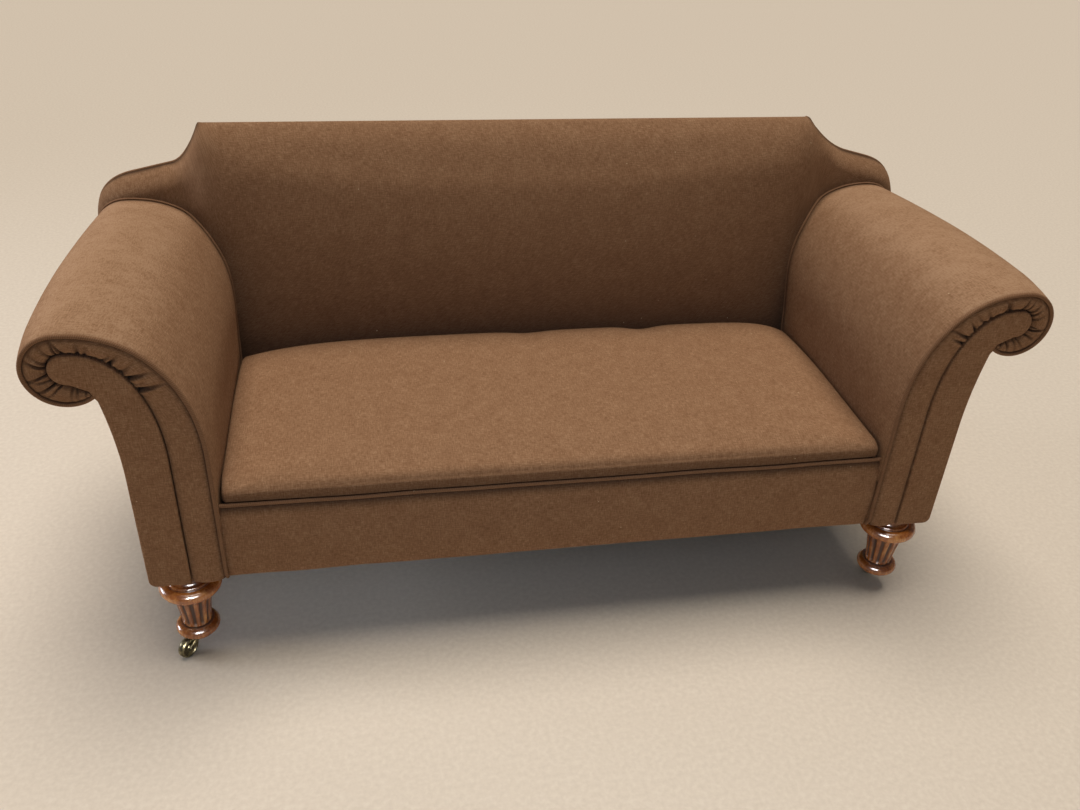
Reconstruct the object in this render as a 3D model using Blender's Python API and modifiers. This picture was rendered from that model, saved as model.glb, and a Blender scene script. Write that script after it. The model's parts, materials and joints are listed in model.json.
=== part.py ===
"""A scroll-arm sofa on castors, built piece by piece: frame, springing, upholstery, legs and castors.

Metres, +Z up. The front faces -Y and the sofa is symmetric about X = 0. Depths are first worked out
from the plane of the arm fronts (depth 0, growing towards the back) and then placed along Y.
"""

import math

import bmesh
import bpy
from mathutils import Matrix, Vector

OBJECT_NAME = "scroll_arm_sofa"

# Gaps
FIT = 0.0003                    # between pieces that lie against each other
RUNNING = 0.0004                # between a pin and the bore that turns on it

# Seat
SEAT_WIDTH = 1.270              # between the inside arms
SEAT_DEPTH = 0.535              # seat front to back face, on the seat line
SEAT_SETBACK = 0.016            # seat front behind the arm fronts
SEAT_LINE = 0.371               # height where seat and back meet
SEAT_CROWN = 0.030              # rise of the seat's middle above its rim
SEAT_REAR_CROWN = 0.014         # rise of its rear edge in the middle
SEAT_TUCK = 0.0012              # its rear edge in front of the back
SEAT_RIM_RISE = 0.017           # seat's top at its sides above the piping
SEAT_ROLL = 0.026               # radius of the soft front roll
SEAT_NOSE_DRAW = 0.004          # its front drawn back at the sides
SEAT_CREST = 0.42               # share of its depth in front of the crest
SEAT_DOME = 0.004               # rise from the front roll to the crest
UNDERSIDE = 0.198               # lower edge of the upholstery
PIPING_LINE = 0.363             # height of the piping on the seat front
PIPING_RADIUS = 0.0037
BORDER_THICKNESS = 0.014        # padded front border

# Frame timber
RAIL_BOTTOM = 0.202
RAIL_TOP = 0.308
RAIL_THICKNESS = 0.035
SIDE_RAIL_WIDTH = 0.060
BACK_FRAME_DEPTH = 0.042
POST_WIDTH = 0.050
POST_INSET = 0.025              # inner side of a back post outside the inside arm
TOP_RAIL_DROP = 0.135           # foot of the top rail below the back's top
TOP_RAIL_HEIGHT = 0.042
BOARD_THICKNESS = 0.040         # scroll-shaped board in the arm front
REAR_UPRIGHT_THICKNESS = 0.030
REAR_UPRIGHT_SETBACK = 0.021    # its rear face in front of the back, on the seat line
ARM_RAIL_SIZE = 0.026           # square rail inside the scroll
LEG_DOWEL_RADIUS = 0.009
LEG_DOWEL_LENGTH = 0.040

# Springing
WEBBING_THICKNESS = 0.0026
WEBBING_WIDTH = 0.050
WEBBING_ALONG = 6               # straps from front to back
WEBBING_ACROSS = 3              # straps from side to side
WEBBING_SETBACK = 0.050         # front of the webbing behind the arm fronts
WEBBING_INSET = 0.020           # its sides inside the back posts
DUST_COVER_THICKNESS = 0.0006
HESSIAN_THICKNESS = 0.003
SPRING_COLUMNS = 4
SPRING_ROWS = 2
SPRING_END_RADIUS = 0.045
SPRING_WAIST_RADIUS = 0.029
SPRING_WIRE_RADIUS = 0.0022
SPRING_TURNS = 4.5
SPRING_POINTS_PER_TURN = 7

# Arms
ARM_BASE_WIDTH = 0.134          # width of the arm front at its foot
ARM_SPRING_LINE = 0.465         # height where the inside arm starts to curve out
ARM_FULLNESS = 2.25             # 2 is an ellipse, more is squarer
ARM_PADDING = 0.040
ARM_CROWN = 0.022               # swell of the roll between its ends
ARM_REAR_CROWN = 0.011          # swell left at the back
ARM_FALL = 0.043                # the crest is lower at the back
ARM_TAPER = 0.002               # scroll radius lost towards the back
SCROLL_RADIUS = 0.066
SCROLL_REACH = 0.199            # scroll axis outside the inside arm
SCROLL_HEIGHT = 0.661           # scroll axis above the floor, at the front
CROTCH_ANGLE = -128.0           # where the scroll tucks in under itself, degrees
OUTSIDE_PANEL = 0.007           # thickness of the outside arm
OUTSIDE_FLARE_LINE = 0.440      # height where the outside arm starts to flare
FACING_DEPTH = 0.022
FACING_BORDER_SIDE = 0.062      # border width down the inside arm
FACING_BORDER_TOP = 0.032       # border width at the crest
FACING_BORDER_END = 0.014       # border width at the crotch
FACING_HEAD_RADIUS = 0.030      # rounded head of the facing panel
FACING_CORNER_RADIUS = 0.014
FACING_PANEL_SETBACK = 0.003    # face of the facing panel behind the arm fronts
FACING_EDGE_SINK = 0.003        # the border's fall to the piping
FACING_SEAM_SINK = 0.005        # the border's fall to the seam
PLEATS = 18
PLEAT_DEPTH = 0.004

# Back
BACK_HEIGHT = 0.835
BACK_SLOPE = 0.229              # run back for each metre of rise, front face
BACK_CROWN = 0.008
ROLL_HEIGHT = 0.130             # height of the rolled top
BACK_THICKNESS = 0.131          # rear face, at the underside, behind the front face on the seat line
REAR_SLOPE = 0.0728             # run back for each metre of rise, rear face
OUTSIDE_BACK = 0.010
BACK_TOP_OVERHANG = 0.048       # level top beyond the inside arm
WING_SHOULDER_REACH = 0.125     # end of the step down beyond the inside arm
WING_SHOULDER_Z = 0.757
WING_ROUND_REACH = 0.237        # where the wing's end starts to round
WING_ROUND_Z = 0.730
WING_TIP_REACH = 0.277
WING_TIP_Z = 0.660
WING_ROUNDING = 0.6             # share of the wing's thickness lost at its tip
WING_SWEEP = 1.7                # hollowness of the step

# Front legs, heights above the floor
FRONT_LEG_REACH = 0.079         # leg axis beyond the inside arm
FRONT_LEG_DEPTH = 0.048         # leg axis behind the arm fronts
LEG_NECK_RADIUS = 0.031
LEG_FLANGE_RADIUS = 0.0585
LEG_FLANGE_THICKNESS = 0.025
LEG_FLANGE_HEIGHT = 0.164
LEG_BODY_TOP_RADIUS = 0.038
LEG_BODY_FOOT_RADIUS = 0.027
LEG_RING_RADIUS = 0.0415
LEG_RING_THICKNESS = 0.023
LEG_COVE_HEIGHT = 0.009         # hollow between neck and flange
LEG_COVE_FOOT = 0.003
LEG_COVE_REACH = 0.004
LEG_BODY_GAP = 0.003            # flange to the fluted body
LEG_RING_GAP = 0.004            # fluted body to the ring
FLUTES = 12
FLUTE_RADIUS = 0.0046
FLUTE_TOP_MARGIN = 0.006        # plain band above the flutes
FLUTE_FOOT_MARGIN = 0.004       # plain band below them
FLUTE_TOP_OUT = 0.0010          # flute axis outside the body, at its top
FLUTE_FOOT_OUT = 0.0015         # and at its foot
LEG_STEPS = 24

# Rear legs
REAR_LEG_TOP = 0.044            # square section
REAR_LEG_FOOT = 0.034
REAR_LEG_RAKE = 0.048           # foot further back than the top

# Castors
CASTOR_HEIGHT = 0.0465          # floor to the foot of the leg
WHEEL_RADIUS = 0.0215
WHEEL_WIDTH = 0.015
WHEEL_STEPS = 16
AXLE_RADIUS = 0.0030
AXLE_HEAD_RADIUS = 0.0048
AXLE_HEAD = 0.0015
CASTOR_TRAIL = 0.034            # axle behind the swivel axis
PLATE_RADIUS = 0.019
PLATE_THICKNESS = 0.003
PIVOT_RADIUS = 0.0042
PIVOT_HEAD_RADIUS = 0.0065
PIVOT_HEAD = 0.0018
CROWN_RADIUS = 0.0135
CROWN_THICKNESS = 0.0078
CHEEK_THICKNESS = 0.0026
CHEEK_GAP = 0.0008              # wheel to cheek
HORN_BOSS_RADIUS = 0.0065
# Trail directions at rest, degrees from +X
TRAIL_FRONT_LEFT = 232.0
TRAIL_FRONT_RIGHT = 80.0
TRAIL_REAR_LEFT = 90.0
TRAIL_REAR_RIGHT = 62.0

# Places that follow from the sizes above
ARM_X = SEAT_WIDTH / 2
SCROLL_X = ARM_X + SCROLL_REACH
OUTSIDE_X = ARM_X + ARM_BASE_WIDTH
BACK_TOP_X = ARM_X + BACK_TOP_OVERHANG
WING_SHOULDER_X = ARM_X + WING_SHOULDER_REACH
WING_ROUND_X = ARM_X + WING_ROUND_REACH
WING_TIP_X = ARM_X + WING_TIP_REACH
FRONT_LEG_X = ARM_X + FRONT_LEG_REACH
BACK_DEPTH = SEAT_SETBACK + SEAT_DEPTH
REAR_UPRIGHT_DEPTH = BACK_DEPTH - REAR_UPRIGHT_SETBACK - REAR_UPRIGHT_THICKNESS
REAR_DEPTH = BACK_DEPTH + BACK_THICKNESS
SEAT_RIM = PIPING_LINE + SEAT_RIM_RISE
SEAT_BASE = RAIL_TOP + 2 * FIT + HESSIAN_THICKNESS + FIT
PAD_FOOT = SEAT_BASE
BOARD_FRONT = FACING_DEPTH + FIT
BOARD_REAR = BOARD_FRONT + BOARD_THICKNESS
RAIL_FRONT = SEAT_SETBACK + BORDER_THICKNESS + FIT
RAIL_REAR = RAIL_FRONT + RAIL_THICKNESS
POST_X = ARM_X + POST_INSET
POST_TOP = BACK_HEIGHT - TOP_RAIL_DROP
REAR_LEG_X = POST_X + POST_WIDTH / 2
TOP_RAIL_TOP = POST_TOP + FIT + TOP_RAIL_HEIGHT
ARM_RUN = BACK_DEPTH - BOARD_FRONT
REAR_LEG_DEPTH = REAR_DEPTH - OUTSIDE_BACK - FIT - BACK_FRAME_DEPTH / 2
FRONT_REACH = FRONT_LEG_DEPTH - LEG_FLANGE_RADIUS
REAR_REACH = REAR_LEG_DEPTH + REAR_LEG_RAKE + CASTOR_TRAIL + WHEEL_RADIUS
FRONT_Y = -(FRONT_REACH + REAR_REACH) / 2

FABRIC = ("upholstery_wool", (0.258, 0.138, 0.072), 0.95, 0.0)
PIPING = ("piping_wool", (0.205, 0.107, 0.056), 0.95, 0.0)
BEECH = ("beech", (0.480, 0.300, 0.160), 0.60, 0.0)
WALNUT = ("polished_walnut", (0.367, 0.107, 0.019), 0.28, 0.0)
HESSIAN = ("hessian", (0.400, 0.290, 0.170), 0.95, 0.0)
LINING = ("black_lining", (0.030, 0.030, 0.030), 0.95, 0.0)
STEEL = ("spring_steel", (0.320, 0.310, 0.300), 0.45, 1.0)
BRASS = ("aged_brass", (0.120, 0.084, 0.038), 0.50, 1.0)


def clear_scene():
    """Remove every object of the open file."""
    for item in list(bpy.data.objects):
        bpy.data.objects.remove(item, do_unlink=True)


def add_collection(name):
    """Make a collection under the scene's own."""
    group = bpy.data.collections.new(name)
    bpy.context.scene.collection.children.link(group)
    return group


clear_scene()
PARTS = add_collection(OBJECT_NAME)
CUTTERS = add_collection("cutters")


def finish_material(finish):
    """Return the Principled material of a finish, made on first use."""
    name, colour, roughness, metallic = finish
    material = bpy.data.materials.get(name)
    if material is None:
        material = bpy.data.materials.new(name)
        material.use_nodes = True
        shader = material.node_tree.nodes["Principled BSDF"]
        shader.inputs["Base Color"].default_value = (*colour, 1.0)
        shader.inputs["Roughness"].default_value = roughness
        shader.inputs["Metallic"].default_value = metallic
    return material


def add_object(name, data, finish):
    """Put a mesh or a curve into the sofa as a named piece."""
    item = bpy.data.objects.new(name, data)
    PARTS.objects.link(item)
    data.materials.clear()
    data.materials.append(finish_material(finish))
    return item


def add_cutter(name, mesh):
    """Put a mesh among the cutters, which aren't pieces."""
    item = bpy.data.objects.new(name, mesh)
    CUTTERS.objects.link(item)
    item.hide_render = True
    item.display_type = "WIRE"
    return item


def smooth(mesh, degrees=35.0):
    """Shade a mesh smooth, apart from edges sharper than the angle."""
    mesh.shade_smooth()
    mesh.set_sharp_from_angle(angle=math.radians(degrees))


def mesh_from(name, bm):
    """Turn a bmesh into a mesh and free it."""
    mesh = bpy.data.meshes.new(name)
    bm.to_mesh(mesh)
    bm.free()
    return mesh


def place(depth):
    """Give the Y of a depth behind the arm fronts."""
    return FRONT_Y + depth


def box_mesh(name, x, depth, z, lean=0.0):
    """Make a box from its spans; lean runs it back for each metre above the underside."""
    bm = bmesh.new()
    bmesh.ops.create_cube(bm, size=1.0)
    for vert in bm.verts:
        height = z[0] + (vert.co.z + 0.5) * (z[1] - z[0])
        back = depth[0] + (vert.co.y + 0.5) * (depth[1] - depth[0])
        vert.co.x = x[0] + (vert.co.x + 0.5) * (x[1] - x[0])
        vert.co.y = place(back + lean * (height - UNDERSIDE))
        vert.co.z = height
    return mesh_from(name, bm)


def loft_mesh(name, rings, degrees=35.0):
    """Skin a row of closed rings, each with as many points, and close its two ends."""
    bm = bmesh.new()
    rows = [[bm.verts.new(point) for point in ring] for ring in rings]
    count = len(rows[0])
    for low, high in zip(rows, rows[1:]):
        for k in range(count):
            after = (k + 1) % count
            bm.faces.new((low[k], low[after], high[after]))
            bm.faces.new((low[k], high[after], high[k]))
    bm.faces.new(rows[0])
    bm.faces.new(rows[-1])
    bmesh.ops.recalc_face_normals(bm, faces=bm.faces)
    mesh = mesh_from(name, bm)
    smooth(mesh, degrees)
    return mesh


def curve_object(name, splines, cyclic, finish, dimensions="3D"):
    """Make a curve object of POLY splines."""
    data = bpy.data.curves.new(name, "CURVE")
    data.dimensions = dimensions
    for points in splines:
        spline = data.splines.new("POLY")
        spline.points.add(len(points) - 1)
        for target, point in zip(spline.points, points):
            target.co = (*point, 1.0)
        spline.use_cyclic_u = cyclic
    return add_object(name, data, finish)


def tube(name, points, radius, finish, resolution=1):
    """Make a round cord or wire along points."""
    item = curve_object(name, [points], False, finish)
    item.data.bevel_depth = radius
    item.data.bevel_resolution = resolution
    item.data.use_fill_caps = True
    return item


def plate(name, outline, depth, thickness, finish, lean=0.0):
    """Make a flat upright plate from an outline of (x, height), its front at a depth."""
    tilt = math.atan(lean)
    flat = [(x, (z - UNDERSIDE) / math.cos(tilt), 0.0) for x, z in outline]
    item = curve_object(name, [flat], True, finish, "2D")
    item.data.fill_mode = "BOTH"
    item.data.extrude = thickness / 2
    item.rotation_euler = (math.pi / 2 - tilt, 0.0, 0.0)
    middle = depth + thickness / 2 / math.cos(tilt)
    item.location = (0.0, place(middle), UNDERSIDE)
    return item


def bake(item):
    """Swap an object's data for a closed mesh of its evaluated shape."""
    bpy.context.view_layer.update()
    evaluated = item.evaluated_get(bpy.context.evaluated_depsgraph_get())
    mesh = bpy.data.meshes.new_from_object(evaluated)
    bm = bmesh.new()
    bm.from_mesh(mesh)
    bmesh.ops.remove_doubles(bm, verts=bm.verts, dist=0.00001)
    bm.to_mesh(mesh)
    bm.free()
    matrix = item.matrix_world.copy()
    name = item.name
    group = item.users_collection[0]
    bpy.data.objects.remove(item, do_unlink=True)
    mesh.name = name
    solid = bpy.data.objects.new(name, mesh)
    group.objects.link(solid)
    solid.matrix_world = matrix
    return solid


def boolean(item, cutter, operation="DIFFERENCE"):
    """Cut or join a piece with another mesh object."""
    modifier = item.modifiers.new(f"{operation.lower()}_{cutter.name}", "BOOLEAN")
    modifier.object = cutter
    modifier.operation = operation
    modifier.solver = "EXACT"


def turned(name, profile, finish, steps):
    """Turn a profile of (radius, height) about Z; it runs down its outer side."""
    bm = bmesh.new()
    verts = [bm.verts.new((radius, 0.0, height)) for radius, height in profile]
    for first, second in zip(verts, verts[1:]):
        bm.edges.new((first, second))
    if profile[0][0] > 0.0:
        bm.edges.new((verts[-1], verts[0]))
    item = add_object(name, mesh_from(name, bm), finish)
    screw = item.modifiers.new("turn", "SCREW")
    screw.axis = "Z"
    screw.steps = steps
    screw.render_steps = steps
    screw.use_merge_vertices = True
    screw.merge_threshold = 0.00001
    return item


def cylinder_mesh(name, radius, low, high, segments=16):
    """Make an upright cylinder between two heights."""
    bm = bmesh.new()
    lift = Matrix.Translation((0.0, 0.0, (low + high) / 2))
    bmesh.ops.create_cone(
        bm, cap_ends=True, segments=segments, radius1=radius, radius2=radius, depth=high - low, matrix=lift
    )
    return mesh_from(name, bm)


def arc(centre, radius, start, end, count):
    """List points on an arc, angles in degrees, both ends included."""
    points = []
    for k in range(count + 1):
        angle = math.radians(start + (end - start) * k / count)
        points.append((centre[0] + radius * math.cos(angle), centre[1] + radius * math.sin(angle)))
    return points


def mirrored(points, side):
    """Carry an outline of (x, height) to a side, -1 left and 1 right."""
    return [(side * x, z) for x, z in points]


SIDES = (("left", -1), ("right", 1))


# The arm's section


def scroll(depth):
    """Give the scroll's axis (x, height) and radius at a depth along the arm."""
    share = min(max((depth - BOARD_REAR) / (BACK_DEPTH - BOARD_REAR), 0.0), 1.0)
    radius = SCROLL_RADIUS - ARM_TAPER * share
    return (SCROLL_X, SCROLL_HEIGHT - ARM_FALL * share + ARM_TAPER * share), radius


def arm_swell(depth):
    """Give how far the arm's roll swells at a depth."""
    share = min(max((depth - BOARD_FRONT) / ARM_RUN, 0.0), 1.0)
    if share < 0.5:
        return ARM_CROWN * math.sin(math.pi * share) ** 0.5
    return ARM_CROWN - (ARM_CROWN - ARM_REAR_CROWN) * (2.0 * share - 1.0) ** 2


def scroll_arc(depth, inset, swell, count):
    """List the roll's surface from the crest round to the crotch, where the swell runs out."""
    axis, radius = scroll(depth)
    points = []
    for k in range(count + 1):
        share = k / count
        angle = math.radians(90.0 + (CROTCH_ANGLE - 90.0) * share)
        reach = radius - inset + swell * (1.0 - share ** 3)
        points.append((axis[0] + reach * math.cos(angle), axis[1] + reach * math.sin(angle)))
    return points


def arm_path(depth, inset, foot, swell=0.0, straight=2, curve=9, head=11):
    """List the arm's surface up the inside, over the crest and round the scroll."""
    axis, radius = scroll(depth)
    rise = axis[1] + radius + swell - ARM_SPRING_LINE - inset
    power = 2.0 / ARM_FULLNESS
    points = []
    for k in range(straight):
        points.append((ARM_X + inset, foot + (ARM_SPRING_LINE - foot) * k / straight))
    for k in range(curve):
        angle = math.pi / 2 * k / curve
        reach = axis[0] - ARM_X - inset + swell * math.sin(angle)
        along = reach * math.cos(angle) ** power
        points.append((axis[0] - along, ARM_SPRING_LINE + rise * math.sin(angle) ** power))
    return points + scroll_arc(depth, inset, swell, head)


def crotch(depth=BOARD_FRONT, inset=0.0, aside=0.0):
    """Give a point on the line where the scroll tucks in, set aside from it towards the arm's middle."""
    axis, radius = scroll(depth)
    angle = math.radians(CROTCH_ANGLE)
    out = Vector((math.cos(angle), math.sin(angle)))
    return tuple(Vector(axis) + out * (radius - inset) + Vector((out.y, -out.x)) * aside)


def outside_x(z, depth=BOARD_FRONT):
    """Give the outside arm's X at a height: straight, then flaring into the crotch."""
    tip_x, tip_z = crotch(depth)
    share = max((z - OUTSIDE_FLARE_LINE) / (tip_z - OUTSIDE_FLARE_LINE), 0.0)
    return OUTSIDE_X + (tip_x - OUTSIDE_X) * share ** 2


def outside_edge(inset, foot, depth=BOARD_FRONT, count=6):
    """List the outside arm's edge from its top, just under the crotch, down to its foot."""
    top = crotch(depth)[1] - OUTSIDE_PANEL
    heights = [top + (OUTSIDE_FLARE_LINE - top) * k / count for k in range(count)]
    heights += [OUTSIDE_FLARE_LINE, foot]
    return [(outside_x(z, depth) - inset, z) for z in heights]


def frame_outline(depth, play, foot):
    """List the cane-shaped outline of an upright inside the arm, some play inside its stuffing."""
    path = arm_path(depth, ARM_PADDING + play, foot)[:-1]
    path.append(crotch(depth, ARM_PADDING + play, play))
    path.append(crotch(depth, play, play + FIT))
    return path + outside_edge(OUTSIDE_PANEL + play, foot, depth)


# The back's section


def face_depth(z):
    """Give the depth of the back's straight front face at a height."""
    return BACK_DEPTH + BACK_SLOPE * (z - SEAT_LINE)


def rear_depth(z):
    """Give the depth of the outside back's rear face at a height."""
    return REAR_DEPTH + REAR_SLOPE * (z - UNDERSIDE)


def pad_rear_depth(z):
    """Give the depth where stuffing meets the outside back."""
    return rear_depth(z) - OUTSIDE_BACK - FIT


def wing_top(x):
    """Give the back's top edge at an X: level, a hollow step down, a falling wing, a rounded end."""
    x = abs(x)
    if x <= BACK_TOP_X:
        return BACK_HEIGHT
    if x <= WING_SHOULDER_X:
        share = (WING_SHOULDER_X - x) / (WING_SHOULDER_X - BACK_TOP_X)
        return WING_SHOULDER_Z + (BACK_HEIGHT - WING_SHOULDER_Z) * share ** WING_SWEEP
    if x <= WING_ROUND_X:
        share = (x - WING_SHOULDER_X) / (WING_ROUND_X - WING_SHOULDER_X)
        return WING_SHOULDER_Z + (WING_ROUND_Z - WING_SHOULDER_Z) * share
    share = min((x - WING_ROUND_X) / (WING_TIP_X - WING_ROUND_X), 1.0)
    return WING_TIP_Z + (WING_ROUND_Z - WING_TIP_Z) * math.sqrt(1.0 - share ** 2)


def wing_foot(x):
    """Give the lower edge of the wing outside the arm, which follows the scroll's underside."""
    axis, radius = scroll(BACK_DEPTH)
    radius += ARM_REAR_CROWN * 0.6
    across = min(abs(abs(x) - axis[0]) / radius, 1.0)
    return axis[1] - radius * math.sqrt(1.0 - across ** 2)


def back_swell(x, z):
    """Give how far the back's front face swells at a place."""
    across = max(1.0 - (x / ARM_X) ** 2, 0.0)
    low = SEAT_LINE + SEAT_REAR_CROWN
    share = (z - low) / (BACK_HEIGHT - ROLL_HEIGHT - low)
    if not 0.0 < share < 1.0:
        return 0.0
    return BACK_CROWN * across * math.sin(math.pi * share)


def back_front(x, foot, count):
    """List (depth, height) up the back's front face at an X and over its rolled top."""
    top = wing_top(x)
    end = max((abs(x) - WING_ROUND_X) / (WING_TIP_X - WING_ROUND_X), 0.0)
    rounded = WING_ROUNDING * end ** 2
    start = top - ROLL_HEIGHT
    corners = (
        Vector((face_depth(start), start)),
        Vector((face_depth(start) + BACK_SLOPE * ROLL_HEIGHT / 2, start + ROLL_HEIGHT / 2)),
        Vector((pad_rear_depth(top) - ROLL_HEIGHT * 0.4, top)),
        Vector((pad_rear_depth(top), top)),
    )
    dense = [Vector((face_depth(foot), foot))] if foot < start else []
    steps = 60
    for k in range(steps + 1):
        t = k / steps
        weights = ((1 - t) ** 3, 3 * t * (1 - t) ** 2, 3 * t * t * (1 - t), t ** 3)
        point = sum((corner * weight for corner, weight in zip(corners, weights)), Vector((0.0, 0.0)))
        if point.y > foot:
            dense.append(point)
    lengths = [0.0]
    for first, second in zip(dense, dense[1:]):
        lengths.append(lengths[-1] + (second - first).length)
    points = []
    for k in range(count):
        wanted = (1.0 - (1.0 - k / (count - 1)) ** 1.4) * lengths[-1]
        after = next((i for i, value in enumerate(lengths) if value > wanted), len(lengths) - 1)
        before = max(after - 1, 0)
        stretch = lengths[after] - lengths[before]
        share = (wanted - lengths[before]) / stretch if stretch > 0.0 else 0.0
        point = dense[before].lerp(dense[after], min(share, 1.0))
        depth = point.x - back_swell(x, point.y)
        points.append((depth + (pad_rear_depth(point.y) - depth) * rounded, point.y))
    return points


def back_outline():
    """List the right half of the back's rear edge from the crotch round the wing to the top's middle."""
    under = scroll_arc(BACK_DEPTH, 0.0, ARM_REAR_CROWN, 20)[:9:-1]
    end = [
        (WING_ROUND_X + (WING_TIP_X - WING_ROUND_X) * math.cos(angle), wing_end(angle))
        for angle in (math.radians(90.0 * k / 7) for k in range(7))
    ]
    slope = [(x, wing_top(x)) for x in (WING_ROUND_X, (WING_ROUND_X + WING_SHOULDER_X) / 2)]
    step_count = 7
    step = [
        WING_SHOULDER_X + (BACK_TOP_X - WING_SHOULDER_X) * k / step_count for k in range(step_count + 1)
    ]
    return under + end + slope + [(x, wing_top(x)) for x in step] + [(0.0, BACK_HEIGHT)]


def wing_end(angle):
    """Give the height on the wing's rounded end at an angle from the level."""
    return WING_TIP_Z + (WING_ROUND_Z - WING_TIP_Z) * math.sin(angle)


def inset_path(points, distance):
    """Move an open outline to its left-hand side by a distance, mitred at its corners."""
    moved = []
    for k, point in enumerate(points):
        here = Vector(point)
        before = here - Vector(points[max(k - 1, 0)])
        after = Vector(points[min(k + 1, len(points) - 1)]) - here
        normals = [Vector((-way.y, way.x)).normalized() for way in (before, after) if way.length > 1e-9]
        mean = sum(normals, Vector((0.0, 0.0))).normalized()
        spread = max(mean.dot(normals[0]), 0.5)
        moved.append(tuple(here + mean * distance / spread))
    return moved


# Frame


def build_seat_rails():
    """Make the four seat rails."""
    post_front = REAR_DEPTH - OUTSIDE_BACK - FIT - BACK_FRAME_DEPTH
    lean_at_rail = REAR_SLOPE * (RAIL_BOTTOM - UNDERSIDE)
    span = (RAIL_BOTTOM, RAIL_TOP)
    board_x = ARM_X + ARM_PADDING
    front = box_mesh("front_seat_rail", (-board_x, board_x), (RAIL_FRONT, RAIL_REAR), span)
    add_object("front_seat_rail", front, BEECH)
    back_x = POST_X - FIT
    back_span = (post_front, post_front + RAIL_THICKNESS)
    back = box_mesh("back_seat_rail", (-back_x, back_x), back_span, span, REAR_SLOPE)
    add_object("back_seat_rail", back, BEECH)
    for word, side in SIDES:
        edges = sorted((side * (POST_X + FIT), side * (POST_X + SIDE_RAIL_WIDTH)))
        name = f"{word}_seat_rail"
        start = max(BOARD_REAR, RAIL_REAR) + FIT
        rail = box_mesh(name, edges, (start, post_front + lean_at_rail - FIT), span)
        add_object(name, rail, BEECH)


def build_back_frame():
    """Make the two back posts and the top rail, which lean with the rear face."""
    front = REAR_DEPTH - OUTSIDE_BACK - FIT - BACK_FRAME_DEPTH
    span = (front, front + BACK_FRAME_DEPTH - FIT)
    for word, side in SIDES:
        edges = sorted((side * POST_X, side * (POST_X + POST_WIDTH)))
        name = f"back_post_{word}"
        post = add_object(name, box_mesh(name, edges, span, (UNDERSIDE, POST_TOP), REAR_SLOPE), BEECH)
        drill_dowel_hole(post, side * REAR_LEG_X, REAR_LEG_DEPTH)
    reach = POST_X + POST_WIDTH
    rail_span = (POST_TOP + FIT, TOP_RAIL_TOP)
    rail = box_mesh("back_top_rail", (-reach, reach), span, rail_span, REAR_SLOPE)
    add_object("back_top_rail", rail, BEECH)


def drill_dowel_hole(item, x, depth):
    """Bore a leg's dowel hole into the underside of an upright."""
    name = f"{item.name}_dowel_hole"
    low = UNDERSIDE - LEG_DOWEL_LENGTH
    high = UNDERSIDE + LEG_DOWEL_LENGTH + FIT
    segments = 12
    radius = (LEG_DOWEL_RADIUS + FIT) / math.cos(math.pi / segments)
    cutter = add_cutter(name, cylinder_mesh(name, radius, low, high, segments))
    cutter.location = (x, place(depth), 0.0)
    boolean(item, cutter)


def build_arm_frames():
    """Make each arm's front board, rear upright and top rail."""
    for word, side in SIDES:
        outline = mirrored(frame_outline(BOARD_REAR, FIT, UNDERSIDE), side)
        board = bake(plate(f"arm_front_board_{word}", outline, BOARD_FRONT, BOARD_THICKNESS, BEECH))
        drill_dowel_hole(board, side * FRONT_LEG_X, FRONT_LEG_DEPTH)
        upright_end = REAR_UPRIGHT_DEPTH + REAR_UPRIGHT_THICKNESS
        play = ARM_FALL * REAR_UPRIGHT_THICKNESS / (BACK_DEPTH - BOARD_REAR) + 2 * FIT
        inner = frame_outline(upright_end, play, RAIL_TOP + FIT)
        outline = mirrored(inner, side)
        name = f"arm_rear_upright_{word}"
        plate(name, outline, REAR_UPRIGHT_DEPTH, REAR_UPRIGHT_THICKNESS, BEECH)
        ends = []
        for depth in (BOARD_REAR + FIT, REAR_UPRIGHT_DEPTH - FIT):
            axis, _ = scroll(depth)
            half = ARM_RAIL_SIZE / 2
            corners = ((-half, -half), (half, -half), (half, half), (-half, half))
            ends.append([(side * axis[0] + u, place(depth), axis[1] + v) for u, v in corners])
        name = f"arm_top_rail_{word}"
        add_object(name, loft_mesh(name, ends), BEECH)


# Springing


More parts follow.
